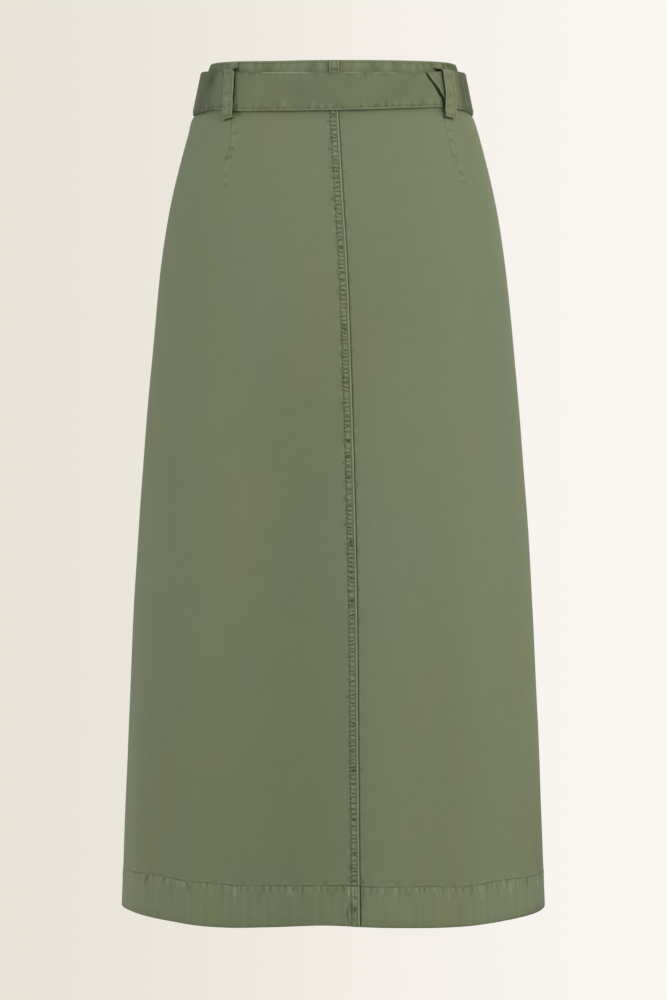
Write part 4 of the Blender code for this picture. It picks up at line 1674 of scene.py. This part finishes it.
def slot_colour(name):
    return next(row["base_color"] for row in frame["record"]["materials"] if row["slot"] == name)


# ---------------------------------------------------------------- stage, light and camera

BACKDROP_LEFT = (0.807, 0.768, 0.680)
BACKDROP_RIGHT = (0.956, 0.921, 0.880)
AMBIENT = (1.0, 0.995, 0.98)
AMBIENT_STRENGTH = 0.54
# Half the width of the backdrop's change from left to right, as a share of a unit direction.
BACKDROP_SPAN = 0.09
PAPER_DARK = (0.70, 0.675, 0.615)
PAPER_LIGHT = (0.73, 0.705, 0.645)
FLOOR_DROP = 0.235
FLOOR_RADIUS = 0.8
FLOOR_SOLID = 0.3
FLOOR_SIDES = 96


def make_world():
    """A pale backdrop, a little lighter to the right, that lights the skirt evenly from all round."""
    world = bpy.data.worlds.new("studio")
    bpy.context.scene.world = world
    world.use_nodes = True
    world.node_tree.nodes.clear()
    nodes = Nodes(world.node_tree)
    split = nodes.add("ShaderNodeSeparateXYZ", **{"0": nodes.add("ShaderNodeTexCoord").outputs["Generated"]})
    span = {"Value": split.outputs[0], "From_Min": -BACKDROP_SPAN, "From_Max": BACKDROP_SPAN}
    across = nodes.add("ShaderNodeMapRange", {"interpolation_type": "SMOOTHSTEP"}, **span)
    backdrop = nodes.ramp(across.outputs[0], ((0.0, BACKDROP_LEFT), (1.0, BACKDROP_RIGHT)))
    seen = nodes.add("ShaderNodeBackground", Color=backdrop)
    light = nodes.add("ShaderNodeBackground", Color=(*AMBIENT, 1.0), Strength=AMBIENT_STRENGTH)
    to_camera = nodes.add("ShaderNodeLightPath").outputs["Is Camera Ray"]
    mix = nodes.add("ShaderNodeMixShader", **{"0": to_camera, "1": light.outputs[0], "2": seen.outputs[0]})
    nodes.add("ShaderNodeOutputWorld", Surface=mix.outputs[0])


def floor_finish():
    """Matt cream paper that fades into the backdrop away from the skirt."""
    nodes = Finish("pale_floor")
    space = nodes.space()
    paper = nodes.ramp(nodes.noise(space, 400.0, 2.0), ((0.3, PAPER_DARK), (0.7, PAPER_LIGHT)))
    length = nodes.add("ShaderNodeVectorMath", {"operation": "LENGTH"}, **{"0": space})
    span = {"From_Min": FLOOR_SOLID, "From_Max": FLOOR_RADIUS * 0.97, "To_Min": 1.0, "To_Max": 0.0}
    span["Value"] = length.outputs["Value"]
    fade = nodes.add("ShaderNodeMapRange", {"interpolation_type": "SMOOTHSTEP"}, **span)
    nodes.set(Base_Color=paper, Roughness=0.9, Alpha=fade.outputs[0])
    return nodes.material


def make_floor():
    turns = [2 * math.pi * k / FLOOR_SIDES for k in range(FLOOR_SIDES)]
    ring = [(FLOOR_RADIUS * math.cos(turn), FLOOR_RADIUS * math.sin(turn), 0.0) for turn in turns]
    mesh = bpy.data.meshes.new("floor")
    mesh.from_pydata(ring, [], [tuple(range(FLOOR_SIDES))])
    mesh.materials.append(floor_finish())
    floor = bpy.data.objects.new("floor", mesh)
    floor.location = (0.0, 0.0, HEM_EDGE * MM - FLOOR_DROP)
    bpy.context.scene.collection.objects.link(floor)


class Lamp(NamedTuple):
    """A rectangular light that is aimed at the skirt's middle."""

    name: str
    place: tuple
    size: tuple
    power: float
    colour: tuple


SKIRT_MIDDLE = (0.0, 0.0, -0.4)
WARM_WHITE = (1.0, 0.99, 0.97)
WHITE = (1.0, 1.0, 1.0)
LAMPS = (
    Lamp("key", (1.5, -2.6, 1.1), (1.5, 1.9), 43.0, WARM_WHITE),
    Lamp("left", (-2.9, -0.8, -0.2), (1.2, 2.4), 25.5, WHITE),
    Lamp("right", (2.9, -0.8, -0.2), (1.2, 2.4), 16.0, WARM_WHITE),
    Lamp("top", (0.0, -0.9, 2.0), (1.6, 1.0), 3.0, WHITE),
    Lamp("front", (0.6, 2.9, 0.9), (2.0, 2.0), 40.0, WARM_WHITE),
)


def make_light(lamp):
    data = bpy.data.lights.new(lamp.name, "AREA")
    data.shape = "RECTANGLE"
    data.size, data.size_y = lamp.size
    data.energy = lamp.power
    data.color = lamp.colour
    light = bpy.data.objects.new(lamp.name, data)
    light.location = lamp.place
    light.rotation_mode = "QUATERNION"
    light.rotation_quaternion = (Vector(SKIRT_MIDDLE) - Vector(lamp.place)).to_track_quat("-Z", "Y")
    bpy.context.scene.collection.objects.link(light)


CAMERA_DISTANCE = 4.0
CAMERA_PITCH = 3.5
CAMERA_AIM = (0.0002, 0.0, -0.40578)
CAMERA_LENS = 146.94
CAMERA_SENSOR = 36.0
CAMERA_REACH = (0.1, 50.0)


def make_camera():
    data = bpy.data.cameras.new("camera")
    data.lens = CAMERA_LENS
    data.sensor_width = CAMERA_SENSOR
    data.clip_start, data.clip_end = CAMERA_REACH
    camera = bpy.data.objects.new("camera", data)
    pitch = math.radians(CAMERA_PITCH)
    back = Vector((0.0, -math.cos(pitch), math.sin(pitch))) * CAMERA_DISTANCE
    camera.location = Vector(CAMERA_AIM) + back
    camera.rotation_euler = (math.radians(90.0) - pitch, 0.0, 0.0)
    bpy.context.scene.collection.objects.link(camera)
    bpy.context.scene.camera = camera


# ---------------------------------------------------------------- the whole scene


def main():
    bpy.context.scene.view_settings.view_transform = "Standard"
    make_camera()
    make_world()
    make_floor()
    for lamp in LAMPS:
        make_light(lamp)
    skirt_colour, belt_colour = (
        times(slot_colour(name), WASH_TINT) for name in ("skirt_twill", "belt_twill")
    )
    skirt_cloth = twill("washed_twill", skirt_colour, 0.75)
    belt_cloth = twill("washed_belt_twill", belt_colour, 0.85)
    skirt_thread = thread("tonal_thread", skirt_colour)
    for plan in PANELS:
        make_panel(plan, skirt_cloth)
    make_waistband(skirt_cloth)
    make_belt(belt_cloth)
    loops = [(loop, make_loop(loop, skirt_cloth)) for loop in LOOPS]
    skirt_threads(skirt_thread)
    hem_threads(skirt_thread)
    waistband_threads(skirt_thread)
    belt_threads(thread("belt_thread", belt_colour))
    loop_threads(loops, skirt_thread)
    buckle = frame["nodes"]["belt_buckle"]
    for slot in buckle.material_slots:
        slot.material = antique_brass("antique_brass", slot_colour("buckle_metal"))


main()
